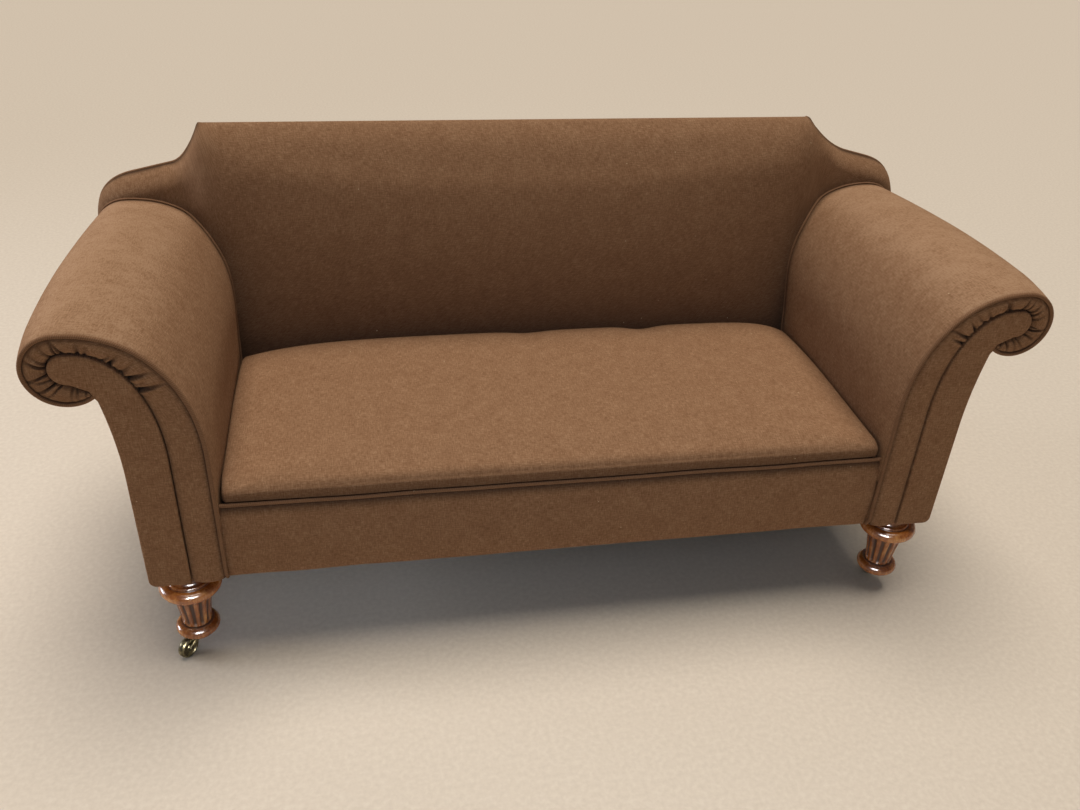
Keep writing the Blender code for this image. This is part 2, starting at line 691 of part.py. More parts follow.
def build_webbing():
    """Make the lattice of webbing under the rails and the dust cover below it."""
    reach = POST_X - WEBBING_INSET
    rear = REAR_DEPTH - OUTSIDE_BACK - BACK_FRAME_DEPTH + RAIL_THICKNESS / 2
    outer = [(-reach, WEBBING_SETBACK), (reach, WEBBING_SETBACK), (reach, rear), (-reach, rear)]
    pitch_x = (2 * reach - WEBBING_WIDTH) / (WEBBING_ALONG - 1)
    pitch_y = (rear - WEBBING_SETBACK - WEBBING_WIDTH) / (WEBBING_ACROSS - 1)
    splines = [[(x, place(depth), 0.0) for x, depth in outer]]
    for column in range(WEBBING_ALONG - 1):
        for row in range(WEBBING_ACROSS - 1):
            x0 = -reach + WEBBING_WIDTH + column * pitch_x
            y0 = WEBBING_SETBACK + WEBBING_WIDTH + row * pitch_y
            x1 = x0 + pitch_x - WEBBING_WIDTH
            y1 = y0 + pitch_y - WEBBING_WIDTH
            corners = ((x0, y0), (x1, y0), (x1, y1), (x0, y1))
            splines.append([(x, place(depth), 0.0) for x, depth in corners])
    webbing = curve_object("seat_webbing", splines, True, HESSIAN, "2D")
    webbing.data.fill_mode = "BOTH"
    webbing.data.extrude = WEBBING_THICKNESS / 2
    webbing.location.z = RAIL_BOTTOM - FIT - WEBBING_THICKNESS / 2
    wide = OUTSIDE_X - OUTSIDE_PANEL - FIT
    front = FRONT_LEG_DEPTH + LEG_FLANGE_RADIUS + 2 * FIT
    end = REAR_LEG_DEPTH - REAR_LEG_TOP / 2 - 2 * FIT
    half = [(reach, WEBBING_SETBACK), (reach, front), (wide, front)]
    half += [(wide, end), (reach, end), (reach, rear)]
    outline = half + mirrored(half, -1)[::-1]
    cover = curve_object("dust_cover", [[(x, place(y), 0.0) for x, y in outline]], True, LINING, "2D")
    cover.data.fill_mode = "BOTH"
    cover.data.extrude = DUST_COVER_THICKNESS / 2
    cover.location.z = RAIL_BOTTOM - 2 * FIT - WEBBING_THICKNESS - DUST_COVER_THICKNESS / 2


def build_springs():
    """Make the hourglass coil springs between webbing and hessian, and print their least gap."""
    low = RAIL_BOTTOM + SPRING_WIRE_RADIUS
    high = RAIL_TOP - SPRING_WIRE_RADIUS
    seat_back = face_depth(RAIL_TOP)
    pitch_x = SEAT_WIDTH / SPRING_COLUMNS
    pitch_y = (seat_back - RAIL_REAR) / SPRING_ROWS
    total = round(SPRING_TURNS * SPRING_POINTS_PER_TURN)
    coil = []
    for k in range(total + 1):
        share = k / total
        angle = 2 * math.pi * SPRING_TURNS * share
        waist = SPRING_WAIST_RADIUS
        radius = waist + (SPRING_END_RADIUS - waist) * (2 * share - 1) ** 2
        coil.append(Vector((radius * math.cos(angle), radius * math.sin(angle), low + (high - low) * share)))
    turn = SPRING_POINTS_PER_TURN
    gaps = [
        (coil[i] - coil[j]).length - 2 * SPRING_WIRE_RADIUS
        for i in range(total + 1)
        for j in range(i + turn // 2, total + 1)
    ]
    print(f"seat spring: least gap to itself {min(gaps) * 1000:.2f} mm")
    for row in range(SPRING_ROWS):
        for column in range(SPRING_COLUMNS):
            x = -SEAT_WIDTH / 2 + (column + 0.5) * pitch_x
            y = place(RAIL_REAR + (row + 0.5) * pitch_y)
            wire = tube(f"seat_spring_{row + 1}_{column + 1}", coil, SPRING_WIRE_RADIUS, STEEL, 0)
            wire.location = (x, y, 0.0)


def build_hessian():
    """Make the hessian sheet over rails and springs."""
    edge = ARM_X - 2 * FIT
    low = RAIL_TOP + FIT
    rear = face_depth(low) - FIT
    sheet = box_mesh("spring_hessian", (-edge, edge), (RAIL_FRONT, rear), (low, low + HESSIAN_THICKNESS))
    add_object("spring_hessian", sheet, HESSIAN)


# Seat


def seat_section(crown):
    """List (depth, height) round the seat's section; crown is 0 at its sides and 1 in its middle."""
    roll = SEAT_ROLL
    front = SEAT_SETBACK
    lip = PIPING_LINE + PIPING_RADIUS + FIT
    rear_top = SEAT_LINE + SEAT_REAR_CROWN * crown
    top = SEAT_RIM + SEAT_CROWN * crown
    nose = front + SEAT_NOSE_DRAW * (1.0 - crown)
    section = []
    for k in range(6):
        angle = math.radians(180.0 - 18.0 * k)
        section.append((nose + roll + roll * math.cos(angle), lip + (top - lip) * math.sin(angle)))
    count = 8
    start = section[-1][0]
    for k in range(1, count + 1):
        share = k / count
        rear = face_depth(rear_top) - FIT - SEAT_TUCK
        bow = max(share - SEAT_CREST, 0.0) / (1.0 - SEAT_CREST)
        dome = SEAT_DOME * crown * share / SEAT_CREST if share < SEAT_CREST else 0.0
        section.append((start + (rear - start) * share, top + dome - (top - rear_top) * bow ** 2.2))
    section.append((face_depth(SEAT_BASE) - FIT, SEAT_BASE))
    section.append((RAIL_FRONT + FIT, SEAT_BASE))
    section.append((RAIL_FRONT + FIT, lip))
    return section


def build_seat():
    """Make the stuffed seat, its front border and the piping between them."""
    rings = []
    half_count = 8
    for k in range(-half_count, half_count + 1):
        across = math.sin(math.pi / 2 * k / half_count)
        crown = (1.0 - abs(across) ** 3) ** 0.6 if abs(across) < 1.0 else 0.0
        ring = []
        for depth, z in seat_section(crown):
            ring.append((across * (ARM_X - 2 * FIT), place(depth), z))
        rings.append(ring)
    add_object("seat_pad", loft_mesh("seat_pad", rings, 50.0), FABRIC)
    edge = ARM_X - 2 * FIT
    top = PIPING_LINE - PIPING_RADIUS - FIT
    name = "seat_front_border"
    span = (SEAT_SETBACK, SEAT_SETBACK + BORDER_THICKNESS)
    border = add_object(name, box_mesh(name, (-edge, edge), span, (UNDERSIDE, top)), FABRIC)
    rounding = border.modifiers.new("soft_edges", "BEVEL")
    rounding.width = BORDER_THICKNESS / 4
    rounding.segments = 2
    cord_y = place(SEAT_SETBACK + PIPING_RADIUS)
    count = 12
    points = [(-edge + 2 * edge * k / count, cord_y, PIPING_LINE) for k in range(count + 1)]
    tube("seat_piping", points, PIPING_RADIUS, PIPING)


# Arms


def build_arm_pads(back_cutter):
    """Make the stuffed inside arm and roll, hollow round the frame and cut to the back."""
    stations = [BOARD_FRONT, BOARD_FRONT + BOARD_THICKNESS / 3, BOARD_REAR]
    stations += [BOARD_FRONT + ARM_RUN * share for share in (0.16, 0.32, 0.5, 0.75, 1.0)]
    stations.append(rear_depth(SCROLL_HEIGHT) - OUTSIDE_BACK)
    for word, side in SIDES:
        rings = []
        for depth in stations:
            section_depth = min(depth, BACK_DEPTH)
            outer = arm_path(section_depth, 0.0, PAD_FOOT, arm_swell(depth))
            inner = arm_path(section_depth, ARM_PADDING, PAD_FOOT)
            ring = mirrored(outer + inner[::-1], side)
            rings.append([(x, place(depth), z) for x, z in ring])
        name = f"arm_pad_{word}"
        pad = add_object(name, loft_mesh(name, rings, 50.0), FABRIC)
        boolean(pad, back_cutter)


def seam_path(straight, curve, head):
    """List the seam between facing border and facing panel, step for step with arm_path."""
    axis, radius = scroll(BOARD_FRONT)
    crest = axis[1] + radius - FACING_BORDER_TOP
    centre = (axis[0] - FACING_BORDER_TOP / 8, crest - FACING_HEAD_RADIUS)
    start_x = ARM_X + FACING_BORDER_SIDE
    power = 2.0 / ARM_FULLNESS
    points = []
    for k in range(straight):
        points.append((start_x, UNDERSIDE + (ARM_SPRING_LINE - UNDERSIDE) * k / straight))
    for k in range(curve):
        angle = math.pi / 2 * k / curve
        along = (centre[0] - start_x) * math.cos(angle) ** power
        rise = (crest - ARM_SPRING_LINE) * math.sin(angle) ** power
        points.append((centre[0] - along, ARM_SPRING_LINE + rise))
    turn_share = 0.76
    end = Vector(crotch(BOARD_FRONT, FACING_BORDER_END))
    under = Vector((centre[0], centre[1] - FACING_HEAD_RADIUS))
    for k in range(head + 1):
        share = k / head
        if share <= turn_share:
            angle = math.radians(90.0 - 180.0 * share / turn_share)
            points.append(
                (
                    centre[0] + FACING_HEAD_RADIUS * math.cos(angle),
                    centre[1] + FACING_HEAD_RADIUS * math.sin(angle),
                )
            )
        else:
            points.append(tuple(under.lerp(end, (share - turn_share) / (1.0 - turn_share))))
    return points


def pleat(share):
    """Give the depth of the gathers at a share of the way along the gathered length."""
    if share <= 0.0:
        return 0.0
    fade = min(share / 0.08, 1.0)
    return PLEAT_DEPTH * fade * (0.5 - 0.5 * math.cos(2 * math.pi * PLEATS * share))


def build_facings():
    """Make each arm's gathered border, smooth facing panel, piping and outside panel."""
    straight, curve, head = 3, 24, 38
    outer = arm_path(BOARD_FRONT, 0.0, UNDERSIDE, 0.0, straight, curve, head)
    seam = seam_path(straight, curve, head)
    gathers_from = straight + curve // 2
    rabbet = 2 * PIPING_RADIUS + 4 * FIT
    for word, side in SIDES:
        rings = []
        for k, (edge, inner) in enumerate(zip(outer, seam)):
            width = math.dist(edge, inner)
            share = (k - gathers_from) / (len(outer) - 1 - gathers_from)
            sink = pleat(share)
            section = (
                (0.0, FACING_DEPTH),
                (0.0, rabbet),
                (rabbet, rabbet),
                (rabbet + FIT, FACING_EDGE_SINK),
                (0.2 * width + 0.8 * rabbet, sink),
                (0.45 * width + 0.55 * rabbet, sink * 0.5),
                (width - FIT, FACING_SEAM_SINK + sink),
                (width - FIT, FACING_DEPTH),
            )
            ring = []
            for across, depth in section:
                mix = across / width
                x = edge[0] + (inner[0] - edge[0]) * mix
                z = edge[1] + (inner[1] - edge[1]) * mix
                ring.append((side * x, place(depth), z))
            rings.append(ring)
        name = f"arm_facing_border_{word}"
        add_object(name, loft_mesh(name, rings, 60.0), FABRIC)

        panel = seam[:1] + seam[straight:]
        panel = inset_path(panel, -2 * FIT)
        panel.append(crotch(aside=4 * FIT))
        panel += outside_edge(0.0, UNDERSIDE + FACING_CORNER_RADIUS)
        corner = (OUTSIDE_X - FACING_CORNER_RADIUS, UNDERSIDE + FACING_CORNER_RADIUS)
        panel += arc(corner, FACING_CORNER_RADIUS, 0.0, -90.0, 4)[1:]
        thickness = FACING_DEPTH - FACING_PANEL_SETBACK
        plate(f"arm_facing_panel_{word}", mirrored(panel, side), FACING_PANEL_SETBACK, thickness, FABRIC)

        cord = arm_path(BOARD_FRONT, PIPING_RADIUS + FIT, UNDERSIDE, 0.0, 1, 12, 17)
        points = [(side * x, place(PIPING_RADIUS + FIT), z) for x, z in cord]
        tube(f"arm_piping_{word}", points, PIPING_RADIUS, PIPING)

        name = f"arm_outside_panel_{word}"
        rings = []
        for depth in (BOARD_FRONT, BACK_DEPTH, None):
            section = BACK_DEPTH if depth is None else depth
            faces = outside_edge(0.0, UNDERSIDE, section)
            faces += outside_edge(OUTSIDE_PANEL, UNDERSIDE, section)[::-1]
            rings.append(
                [(side * x, place(pad_rear_depth(z) if depth is None else depth), z) for x, z in faces]
            )
        add_object(name, loft_mesh(name, rings), FABRIC)


# Back


def back_stations():
    """List the right-hand X stations along the back, each with the sort of section it has there."""
    hollow_x = POST_X + POST_WIDTH + 2 * FIT
    side_x = OUTSIDE_X - OUTSIDE_PANEL - FIT
    stations = [(ARM_X * share, "hollow") for share in (0.0, 0.35, 0.7, 1.0)]
    stations += [(BACK_TOP_X, "hollow"), (hollow_x, "hollow"), (hollow_x + FIT, "solid")]
    stations += [(WING_SHOULDER_X - 0.022, "solid"), (side_x, "solid"), (side_x + FIT, "wing")]
    middle = (side_x + WING_ROUND_X) / 2
    stations += [(middle, "wing")]
    for share in (0.0, 0.35, 0.62, 0.82, 0.95):
        stations.append((WING_ROUND_X + (WING_TIP_X - WING_ROUND_X) * share, "wing"))
    return stations


def back_ring(x, kind, count=15):
    """List the closed section of the back at an X."""
    foot = wing_foot(x) if kind == "wing" else PAD_FOOT
    front = back_front(x, foot, count)
    top = wing_top(x)
    if kind == "hollow":
        ledge = TOP_RAIL_TOP + FIT
        depth = OUTSIDE_BACK + FIT + BACK_FRAME_DEPTH + FIT
        rear = [
            (pad_rear_depth(ledge), ledge),
            (rear_depth(ledge) - depth, ledge),
            (rear_depth(foot) - depth, foot),
        ]
    else:
        rear = [(pad_rear_depth(z), z) for z in (top + (foot - top) * share for share in (0.3, 0.6, 1.0))]
    return [(x, place(depth), z) for depth, z in front + rear]


def build_back():
    """Make the stuffed back with its wings, the outside back and the piping along its edge."""
    stations = back_stations()
    rings = [back_ring(-x, kind) for x, kind in reversed(stations[1:])]
    rings += [back_ring(x, kind) for x, kind in stations]
    add_object("back_pad", loft_mesh("back_pad", rings, 50.0), FABRIC)

    edge = back_outline()
    hem = outside_edge(0.0, UNDERSIDE, BACK_DEPTH)[::-1]
    gap = 2 * PIPING_RADIUS + FIT
    right = hem + inset_path(edge, gap)
    outline = right + mirrored(right[:-1], -1)[::-1]
    depth = REAR_DEPTH - OUTSIDE_BACK
    plate("outside_back", outline, depth, OUTSIDE_BACK - FIT, FABRIC, REAR_SLOPE)

    half = inset_path(edge, PIPING_RADIUS)[1:]
    path = half + mirrored(half[:-1], -1)[::-1]
    points = [(x, place(rear_depth(z) - OUTSIDE_BACK / 2), z) for x, z in path]
    tube("back_piping", points, PIPING_RADIUS, PIPING)


def add_back_cutter():
    """Make the solid that trims the arms to the back's front face, a small gap in front of it."""
    rear = place(pad_rear_depth(BACK_HEIGHT) + SCROLL_RADIUS)
    rings = []
    for x, _ in back_stations():
        front = [(place(depth - 2 * FIT), z) for depth, z in back_front(x, RAIL_BOTTOM, 24)]
        rings.append([(x, y, z) for y, z in front + [(rear, wing_top(x)), (rear, RAIL_BOTTOM)]])
    beyond = WING_TIP_X + SCROLL_RADIUS
    rings.append([(beyond, y, z) for _, y, z in rings[-1]])
    left = [[(-x, y, z) for x, y, z in ring] for ring in reversed(rings[1:])]
    return add_cutter("back_face_cutter", loft_mesh("back_face_cutter", left + rings))


# Legs


def leg_profile():
    """List the turned front leg's (radius, height) from the dowel's top down to the foot."""
    neck_top = UNDERSIDE - FIT
    flange = LEG_FLANGE_THICKNESS / 2
    ring = LEG_RING_THICKNESS / 2
    ring_height = CASTOR_HEIGHT + ring
    profile = [
        (0.0, UNDERSIDE + LEG_DOWEL_LENGTH),
        (LEG_DOWEL_RADIUS, UNDERSIDE + LEG_DOWEL_LENGTH),
        (LEG_DOWEL_RADIUS, neck_top),
        (LEG_NECK_RADIUS, neck_top),
        (LEG_NECK_RADIUS, LEG_FLANGE_HEIGHT + flange + LEG_COVE_HEIGHT),
        (LEG_NECK_RADIUS + LEG_COVE_REACH, LEG_FLANGE_HEIGHT + flange + LEG_COVE_FOOT),
    ]
    profile += arc((LEG_FLANGE_RADIUS - flange, LEG_FLANGE_HEIGHT), flange, 90.0, -90.0, 6)
    body_top = LEG_FLANGE_HEIGHT - flange - LEG_BODY_GAP
    body_foot = ring_height + ring + LEG_RING_GAP
    count = 4
    for k in range(count + 1):
        share = k / count
        radius = LEG_BODY_FOOT_RADIUS + (LEG_BODY_TOP_RADIUS - LEG_BODY_FOOT_RADIUS) * (1.0 - share) ** 1.4
        profile.append((radius, body_top + (body_foot - body_top) * share))
    profile += arc((LEG_RING_RADIUS - ring, ring_height), ring, 90.0, -90.0, 6)
    profile.append((0.0, CASTOR_HEIGHT))
    return profile, body_top, body_foot


def flute_cutter(body_top, body_foot):
    """Make the ring of round-nosed cutters that flute the leg's body."""
    bm = bmesh.new()
    high = Vector((LEG_BODY_TOP_RADIUS + FLUTE_TOP_OUT, 0.0, body_top - FLUTE_TOP_MARGIN))
    low = Vector((LEG_BODY_FOOT_RADIUS + FLUTE_FOOT_OUT, 0.0, body_foot + FLUTE_FOOT_MARGIN))
    along = high - low
    turn = Vector((0.0, 0.0, 1.0)).rotation_difference(along).to_matrix().to_4x4()
    for k in range(FLUTES):
        around = Matrix.Rotation(2 * math.pi * k / FLUTES, 4, "Z")
        matrix = around @ Matrix.Translation((high + low) / 2) @ turn
        bmesh.ops.create_cone(
            bm,
            cap_ends=True,
            segments=6,
            radius1=FLUTE_RADIUS * 0.75,
            radius2=FLUTE_RADIUS,
            depth=along.length,
            matrix=matrix,
        )
    return mesh_from("leg_flutes", bm)


def build_front_legs():
    """Make the two turned and fluted front legs."""
    profile, body_top, body_foot = leg_profile()
    for word, side in SIDES:
        leg = turned(f"front_leg_{word}", profile, WALNUT, LEG_STEPS)
        leg = bake(leg)
        smooth(leg.data)
        leg.location = (side * FRONT_LEG_X, place(FRONT_LEG_DEPTH), 0.0)
        cutter = add_cutter(f"leg_flutes_{word}", flute_cutter(body_top, body_foot))
        cutter.location = leg.location
        boolean(leg, cutter)


def build_rear_legs():
    """Make the two raked square rear legs with their dowels."""
    for word, side in SIDES:
        ends = []
        for size, height, rake in (
            (REAR_LEG_TOP, UNDERSIDE - FIT, 0.0),
            (REAR_LEG_FOOT, CASTOR_HEIGHT, REAR_LEG_RAKE),
        ):
            half = size / 2
            corners = ((-half, -half), (half, -half), (half, half), (-half, half))
            depth = REAR_LEG_DEPTH + rake
            ends.append([(side * REAR_LEG_X + u, place(depth + v), height) for u, v in corners])
        name = f"rear_leg_{word}"
        leg = add_object(name, loft_mesh(name, ends), WALNUT)
        low = UNDERSIDE - LEG_DOWEL_LENGTH / 2
        peg_mesh = cylinder_mesh(f"{name}_dowel", LEG_DOWEL_RADIUS, low, UNDERSIDE + LEG_DOWEL_LENGTH, 12)
        peg = add_cutter(f"{name}_dowel", peg_mesh)
        peg.location = (side * REAR_LEG_X, place(REAR_LEG_DEPTH), 0.0)
        boolean(leg, peg, "UNION")


# Castors


def castor_places():
    """List each castor's name, X, depth and trail direction."""
    rear = REAR_LEG_DEPTH + REAR_LEG_RAKE
    return (
        ("front_left", -FRONT_LEG_X, FRONT_LEG_DEPTH, TRAIL_FRONT_LEFT),
        ("front_right", FRONT_LEG_X, FRONT_LEG_DEPTH, TRAIL_FRONT_RIGHT),
        ("rear_left", -REAR_LEG_X, rear, TRAIL_REAR_LEFT),
        ("rear_right", REAR_LEG_X, rear, TRAIL_REAR_RIGHT),
    )


PLATE_TOP = CASTOR_HEIGHT - FIT
PLATE_BOTTOM = PLATE_TOP - PLATE_THICKNESS
CROWN_TOP = PLATE_BOTTOM - RUNNING
CROWN_BOTTOM = CROWN_TOP - CROWN_THICKNESS
CHEEK_INSIDE = WHEEL_WIDTH / 2 + CHEEK_GAP


def plate_profile():
    """List the castor plate and its riveted pivot, (radius, height)."""
    head_top = CROWN_BOTTOM - RUNNING
    return [
        (0.0, PLATE_TOP),
        (PLATE_RADIUS, PLATE_TOP),
        (PLATE_RADIUS, PLATE_BOTTOM),
        (PIVOT_RADIUS, PLATE_BOTTOM),
        (PIVOT_RADIUS, head_top),
        (PIVOT_HEAD_RADIUS, head_top),
        (PIVOT_HEAD_RADIUS, head_top - PIVOT_HEAD),
        (0.0, head_top - PIVOT_HEAD),
    ]


def wheel_profile():
    """List the wheel's closed section (radius, place along the axle) with a rounded tread and a hub."""
    half = WHEEL_WIDTH / 2
    bore = AXLE_RADIUS + RUNNING
    shoulder = half * 0.55
    return [
        (WHEEL_RADIUS * 0.42, half),
        (WHEEL_RADIUS * 0.55, half * 0.75),
        (WHEEL_RADIUS * 0.90, half * 0.80),
        (WHEEL_RADIUS, shoulder * 0.6),
        (WHEEL_RADIUS, -shoulder * 0.6),
        (WHEEL_RADIUS * 0.90, -half * 0.80),
        (WHEEL_RADIUS * 0.55, -half * 0.75),
        (WHEEL_RADIUS * 0.42, -half),
        (bore, -half),
        (bore, half),
    ]


def axle_profile():
    """List the axle pin with its two rivet heads, (radius, place along the axle)."""
    reach = CHEEK_INSIDE + CHEEK_THICKNESS + RUNNING
    tip = reach + AXLE_HEAD
    return [
        (0.0, tip),
        (AXLE_HEAD_RADIUS, tip),
        (AXLE_HEAD_RADIUS, reach),
        (AXLE_RADIUS, reach),
        (AXLE_RADIUS, -reach),
        (AXLE_HEAD_RADIUS, -reach),
        (AXLE_HEAD_RADIUS, -tip),
        (0.0, -tip),
    ]


def horn_mesh():
    """Make the horn: a pierced crown with two cheeks that run down to the axle."""
    stem = cylinder_mesh("horn_crown", CROWN_RADIUS, CROWN_BOTTOM, CROWN_TOP)
    crown = add_object("horn_crown", stem, BRASS)
    boss = (CASTOR_TRAIL, WHEEL_RADIUS)
    root = CROWN_RADIUS * 0.5
    side = [(-root, CROWN_BOTTOM + FIT), (-root, CROWN_TOP - FIT), (root, CROWN_TOP - FIT)]
    side += arc(boss, HORN_BOSS_RADIUS, 62.0, -118.0, 8)
    pieces = []
    for word, way in (("near", -1), ("far", 1)):
        flat = [(x, z, 0.0) for x, z in side]
        cheek = curve_object(f"horn_cheek_{word}", [flat], True, BRASS, "2D")
        cheek.data.fill_mode = "BOTH"
        cheek.data.extrude = CHEEK_THICKNESS / 2
        cheek.rotation_euler = (math.pi / 2, 0.0, 0.0)
        cheek.location.y = way * (CHEEK_INSIDE + CHEEK_THICKNESS / 2)
        pieces.append(bake(cheek))
    pivot_hole = cylinder_mesh("pivot_hole", PIVOT_RADIUS + RUNNING, 0.0, CASTOR_HEIGHT, 14)
    pieces.append(add_cutter("pivot_hole", pivot_hole))
    reach = CHEEK_INSIDE + 2 * CHEEK_THICKNESS
    axle_hole = cylinder_mesh("axle_hole", AXLE_RADIUS + FIT, -reach, reach, 12)
    hole = add_cutter("axle_hole", axle_hole)
    hole.rotation_euler = (math.pi / 2, 0.0, 0.0)
    hole.location = (CASTOR_TRAIL, 0.0, WHEEL_RADIUS)
    pieces.append(hole)
    boolean(crown, pieces[0], "UNION")
    boolean(crown, pieces[1], "UNION")
    boolean(crown, pieces[2])
    boolean(crown, pieces[3])
    horn = bake(crown)
    mesh = horn.data
    smooth(mesh)
    for item in pieces + [horn]:
        bpy.data.objects.remove(item, do_unlink=True)
    return mesh


def baked_turning(name, profile, steps):
    """Turn a profile and keep only its mesh, for pieces that share it."""
    item = bake(turned(name, profile, BRASS, steps))
    mesh = item.data
    smooth(mesh)
    bpy.data.objects.remove(item, do_unlink=True)
    return mesh


def build_castors():
    """Make the four castors: each horn turns on its plate's pivot, each wheel on its axle."""
    plate_mesh = baked_turning("castor_plate", plate_profile(), 16)
    wheel_mesh = baked_turning("castor_wheel", wheel_profile(), WHEEL_STEPS)
    axle_mesh = baked_turning("castor_axle", axle_profile(), 12)
    horn = horn_mesh()
    for word, x, depth, trail in castor_places():
        swivel = bpy.data.objects.new(f"castor_swivel_axis_{word}", None)
        PARTS.objects.link(swivel)
        swivel.location = (x, place(depth), 0.0)
        swivel.rotation_euler.z = math.radians(trail)
        plate_item = add_object(f"castor_plate_{word}", plate_mesh, BRASS)
        plate_item.location = swivel.location
        horn_item = add_object(f"castor_horn_{word}", horn, BRASS)
        horn_item.parent = swivel
        for name, mesh in (("castor_axle", axle_mesh), ("castor_wheel", wheel_mesh)):
            item = add_object(f"{name}_{word}", mesh, BRASS)
            item.parent = swivel
            item.location = (CASTOR_TRAIL, 0.0, WHEEL_RADIUS)
            item.rotation_euler = (math.pi / 2, 0.0, 0.0)


def main():
    """Build the sofa from the frame outwards."""
    build_seat_rails()
    build_back_frame()
    build_arm_frames()
    build_webbing()
    build_springs()
    build_hessian()
    build_seat()
    build_arm_pads(add_back_cutter())
    build_facings()
    build_back()
    build_front_legs()
    build_rear_legs()
    build_castors()


main()
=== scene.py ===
"""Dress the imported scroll-arm sofa: wool cover, piping, polished legs and brass castors.

Lengths are metres. A depth runs back from the plane of the arm fronts, a height up from the floor.
"""

from __future__ import annotations

import json
import logging
import math
import random
from dataclasses import dataclass, field
from enum import Enum
from typing import Any, Callable, Iterable, Sequence

import bmesh
import bpy
from bmesh.types import BMesh, BMVert
from bpy.types import ID, Light, Material, Mesh, Node, NodeTree, Object
from bpy.types import NodeSocket as Socket
from mathutils import Matrix, Vector, noise

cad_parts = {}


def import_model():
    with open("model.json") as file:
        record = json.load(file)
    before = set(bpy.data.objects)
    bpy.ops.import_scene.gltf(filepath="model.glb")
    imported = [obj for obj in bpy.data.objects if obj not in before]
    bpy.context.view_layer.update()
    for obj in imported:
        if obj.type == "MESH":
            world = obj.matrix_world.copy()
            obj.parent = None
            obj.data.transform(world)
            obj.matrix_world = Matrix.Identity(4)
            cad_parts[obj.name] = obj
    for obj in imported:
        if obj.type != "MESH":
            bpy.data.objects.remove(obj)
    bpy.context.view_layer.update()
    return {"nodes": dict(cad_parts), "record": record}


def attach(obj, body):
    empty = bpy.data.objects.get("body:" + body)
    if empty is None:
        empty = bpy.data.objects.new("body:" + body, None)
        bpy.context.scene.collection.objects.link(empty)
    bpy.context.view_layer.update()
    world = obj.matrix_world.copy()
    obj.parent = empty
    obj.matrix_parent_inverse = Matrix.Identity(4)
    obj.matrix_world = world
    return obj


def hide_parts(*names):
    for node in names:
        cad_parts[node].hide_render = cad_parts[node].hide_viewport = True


LOG = logging.getLogger("sofa")
FIT = 0.0003
FRONT_Y = -0.37185
UNDERSIDE = 0.198
PIPING_RADIUS = 0.0037
WELT_RADIUS = 0.0027
TACK_RADIUS = 0.005
PIN_POINT = 0.00004
CLOTH_UV = "cloth"
SOFA = "sofa"
Steps = tuple[int, int, int]


class Named(Enum):
    """A place that nodes and bodies are named after."""

    @property
    def word(self) -> str:
        """Name the place as the nodes do."""
        return self.name.lower()


class Side(Named):
    """A side of the sofa as seen from the front, with the sign of its X."""

    LEFT = -1
    RIGHT = 1


class Corner(Named):
    """A castor's place: X, depth and the direction its wheel trails, in degrees from +X."""

    FRONT_LEFT = (-0.714, 0.048, 232.0)
    FRONT_RIGHT = (0.714, 0.048, 80.0)
    REAR_LEFT = (-0.685, 0.6987, 90.0)
    REAR_RIGHT = (0.685, 0.6987, 62.0)


class Ends(Enum):
    """How the two end rings of a skin are closed: each by one face, or by faces across it."""

    FILLED = "filled"
    BRIDGED = "bridged"


def world(x: float, depth: float, z: float) -> Vector:
    """Turn an X, a depth and a height into a point of the row frame."""
    return Vector((x, FRONT_Y + depth, z))


def clamp(value: float, low: float = 0.0, high: float = 1.0) -> float:
    """Hold a value between two limits."""
    return min(max(value, low), high)


def ease(value: float) -> float:
    """Run smoothly from 0 to 1 while the value does."""
    value = clamp(value)
    return value * value * (3.0 - 2.0 * value)


def over(value: float, start: float) -> float:
    """Run from 0 at a start to 1 while the value goes on to 1."""
    return max(value - start, 0.0) / (1.0 - start)


def heading(angle: float) -> Vector:
    """Give the direction of an angle in a plane."""
    return Vector((math.cos(angle), math.sin(angle)))


def spread(first: float, last: float, steps: int) -> list[float]:
    """Give evenly spread numbers from a first to a last."""
    return [first + (last - first) * k / steps for k in range(steps + 1)]


def even(points: Sequence[Sequence[float]], count: int) -> list[Vector]:
    """Space points evenly along a line of points.

    Args:
        points: The line, in two or three dimensions.
        count: How many points to give.

    Returns:
        The new points, the line's two ends among them.
    """
    line = [Vector(point) for point in points]
    run = [0.0]
    for first, second in zip(line, line[1:]):
        run.append(run[-1] + (second - first).length)
    spaced = []
    after = 1
    for k in range(count):
        wanted = run[-1] * k / (count - 1)
        while after < len(run) - 1 and run[after] < wanted:
            after += 1
        stretch = run[after] - run[after - 1]
        share = (wanted - run[after - 1]) / stretch if stretch > 0.0 else 0.0
        spaced.append(line[after - 1].lerp(line[after], clamp(share)))
    return spaced


def inset(points: Sequence[Sequence[float]], distance: float) -> list[Vector]:
    """Move an open outline to its left-hand side, mitred at its corners.

    Args:
        points: The outline, in two dimensions.
        distance: How far to move it; less than 0 moves it to the right.

    Returns:
        The moved outline.
    """
    line = [Vector(point) for point in points]
    moved = []
    for k, here in enumerate(line):
        ways = (here - line[max(k - 1, 0)], line[min(k + 1, len(line) - 1)] - here)
        normals = [Vector((-way.y, way.x)).normalized() for way in ways if way.length > 1e-9]
        mean = sum(normals, Vector((0.0, 0.0))).normalized()
        moved.append(here + mean * distance / max(mean.dot(normals[0]), 0.5))
    return moved


def hex_linear(text: str) -> tuple[float, float, float, float]:
    """Turn an sRGB hex colour into a linear one with full alpha.

    Args:
        text: Six hex digits after a hash.

    Returns:
        Red, green, blue and alpha.
    """
    channels = [int(text[k:k + 2], 16) / 255.0 for k in (1, 3, 5)]
    linear = [c / 12.92 if c <= 0.04045 else ((c + 0.055) / 1.055) ** 2.4 for c in channels]
    return (linear[0], linear[1], linear[2], 1.0)


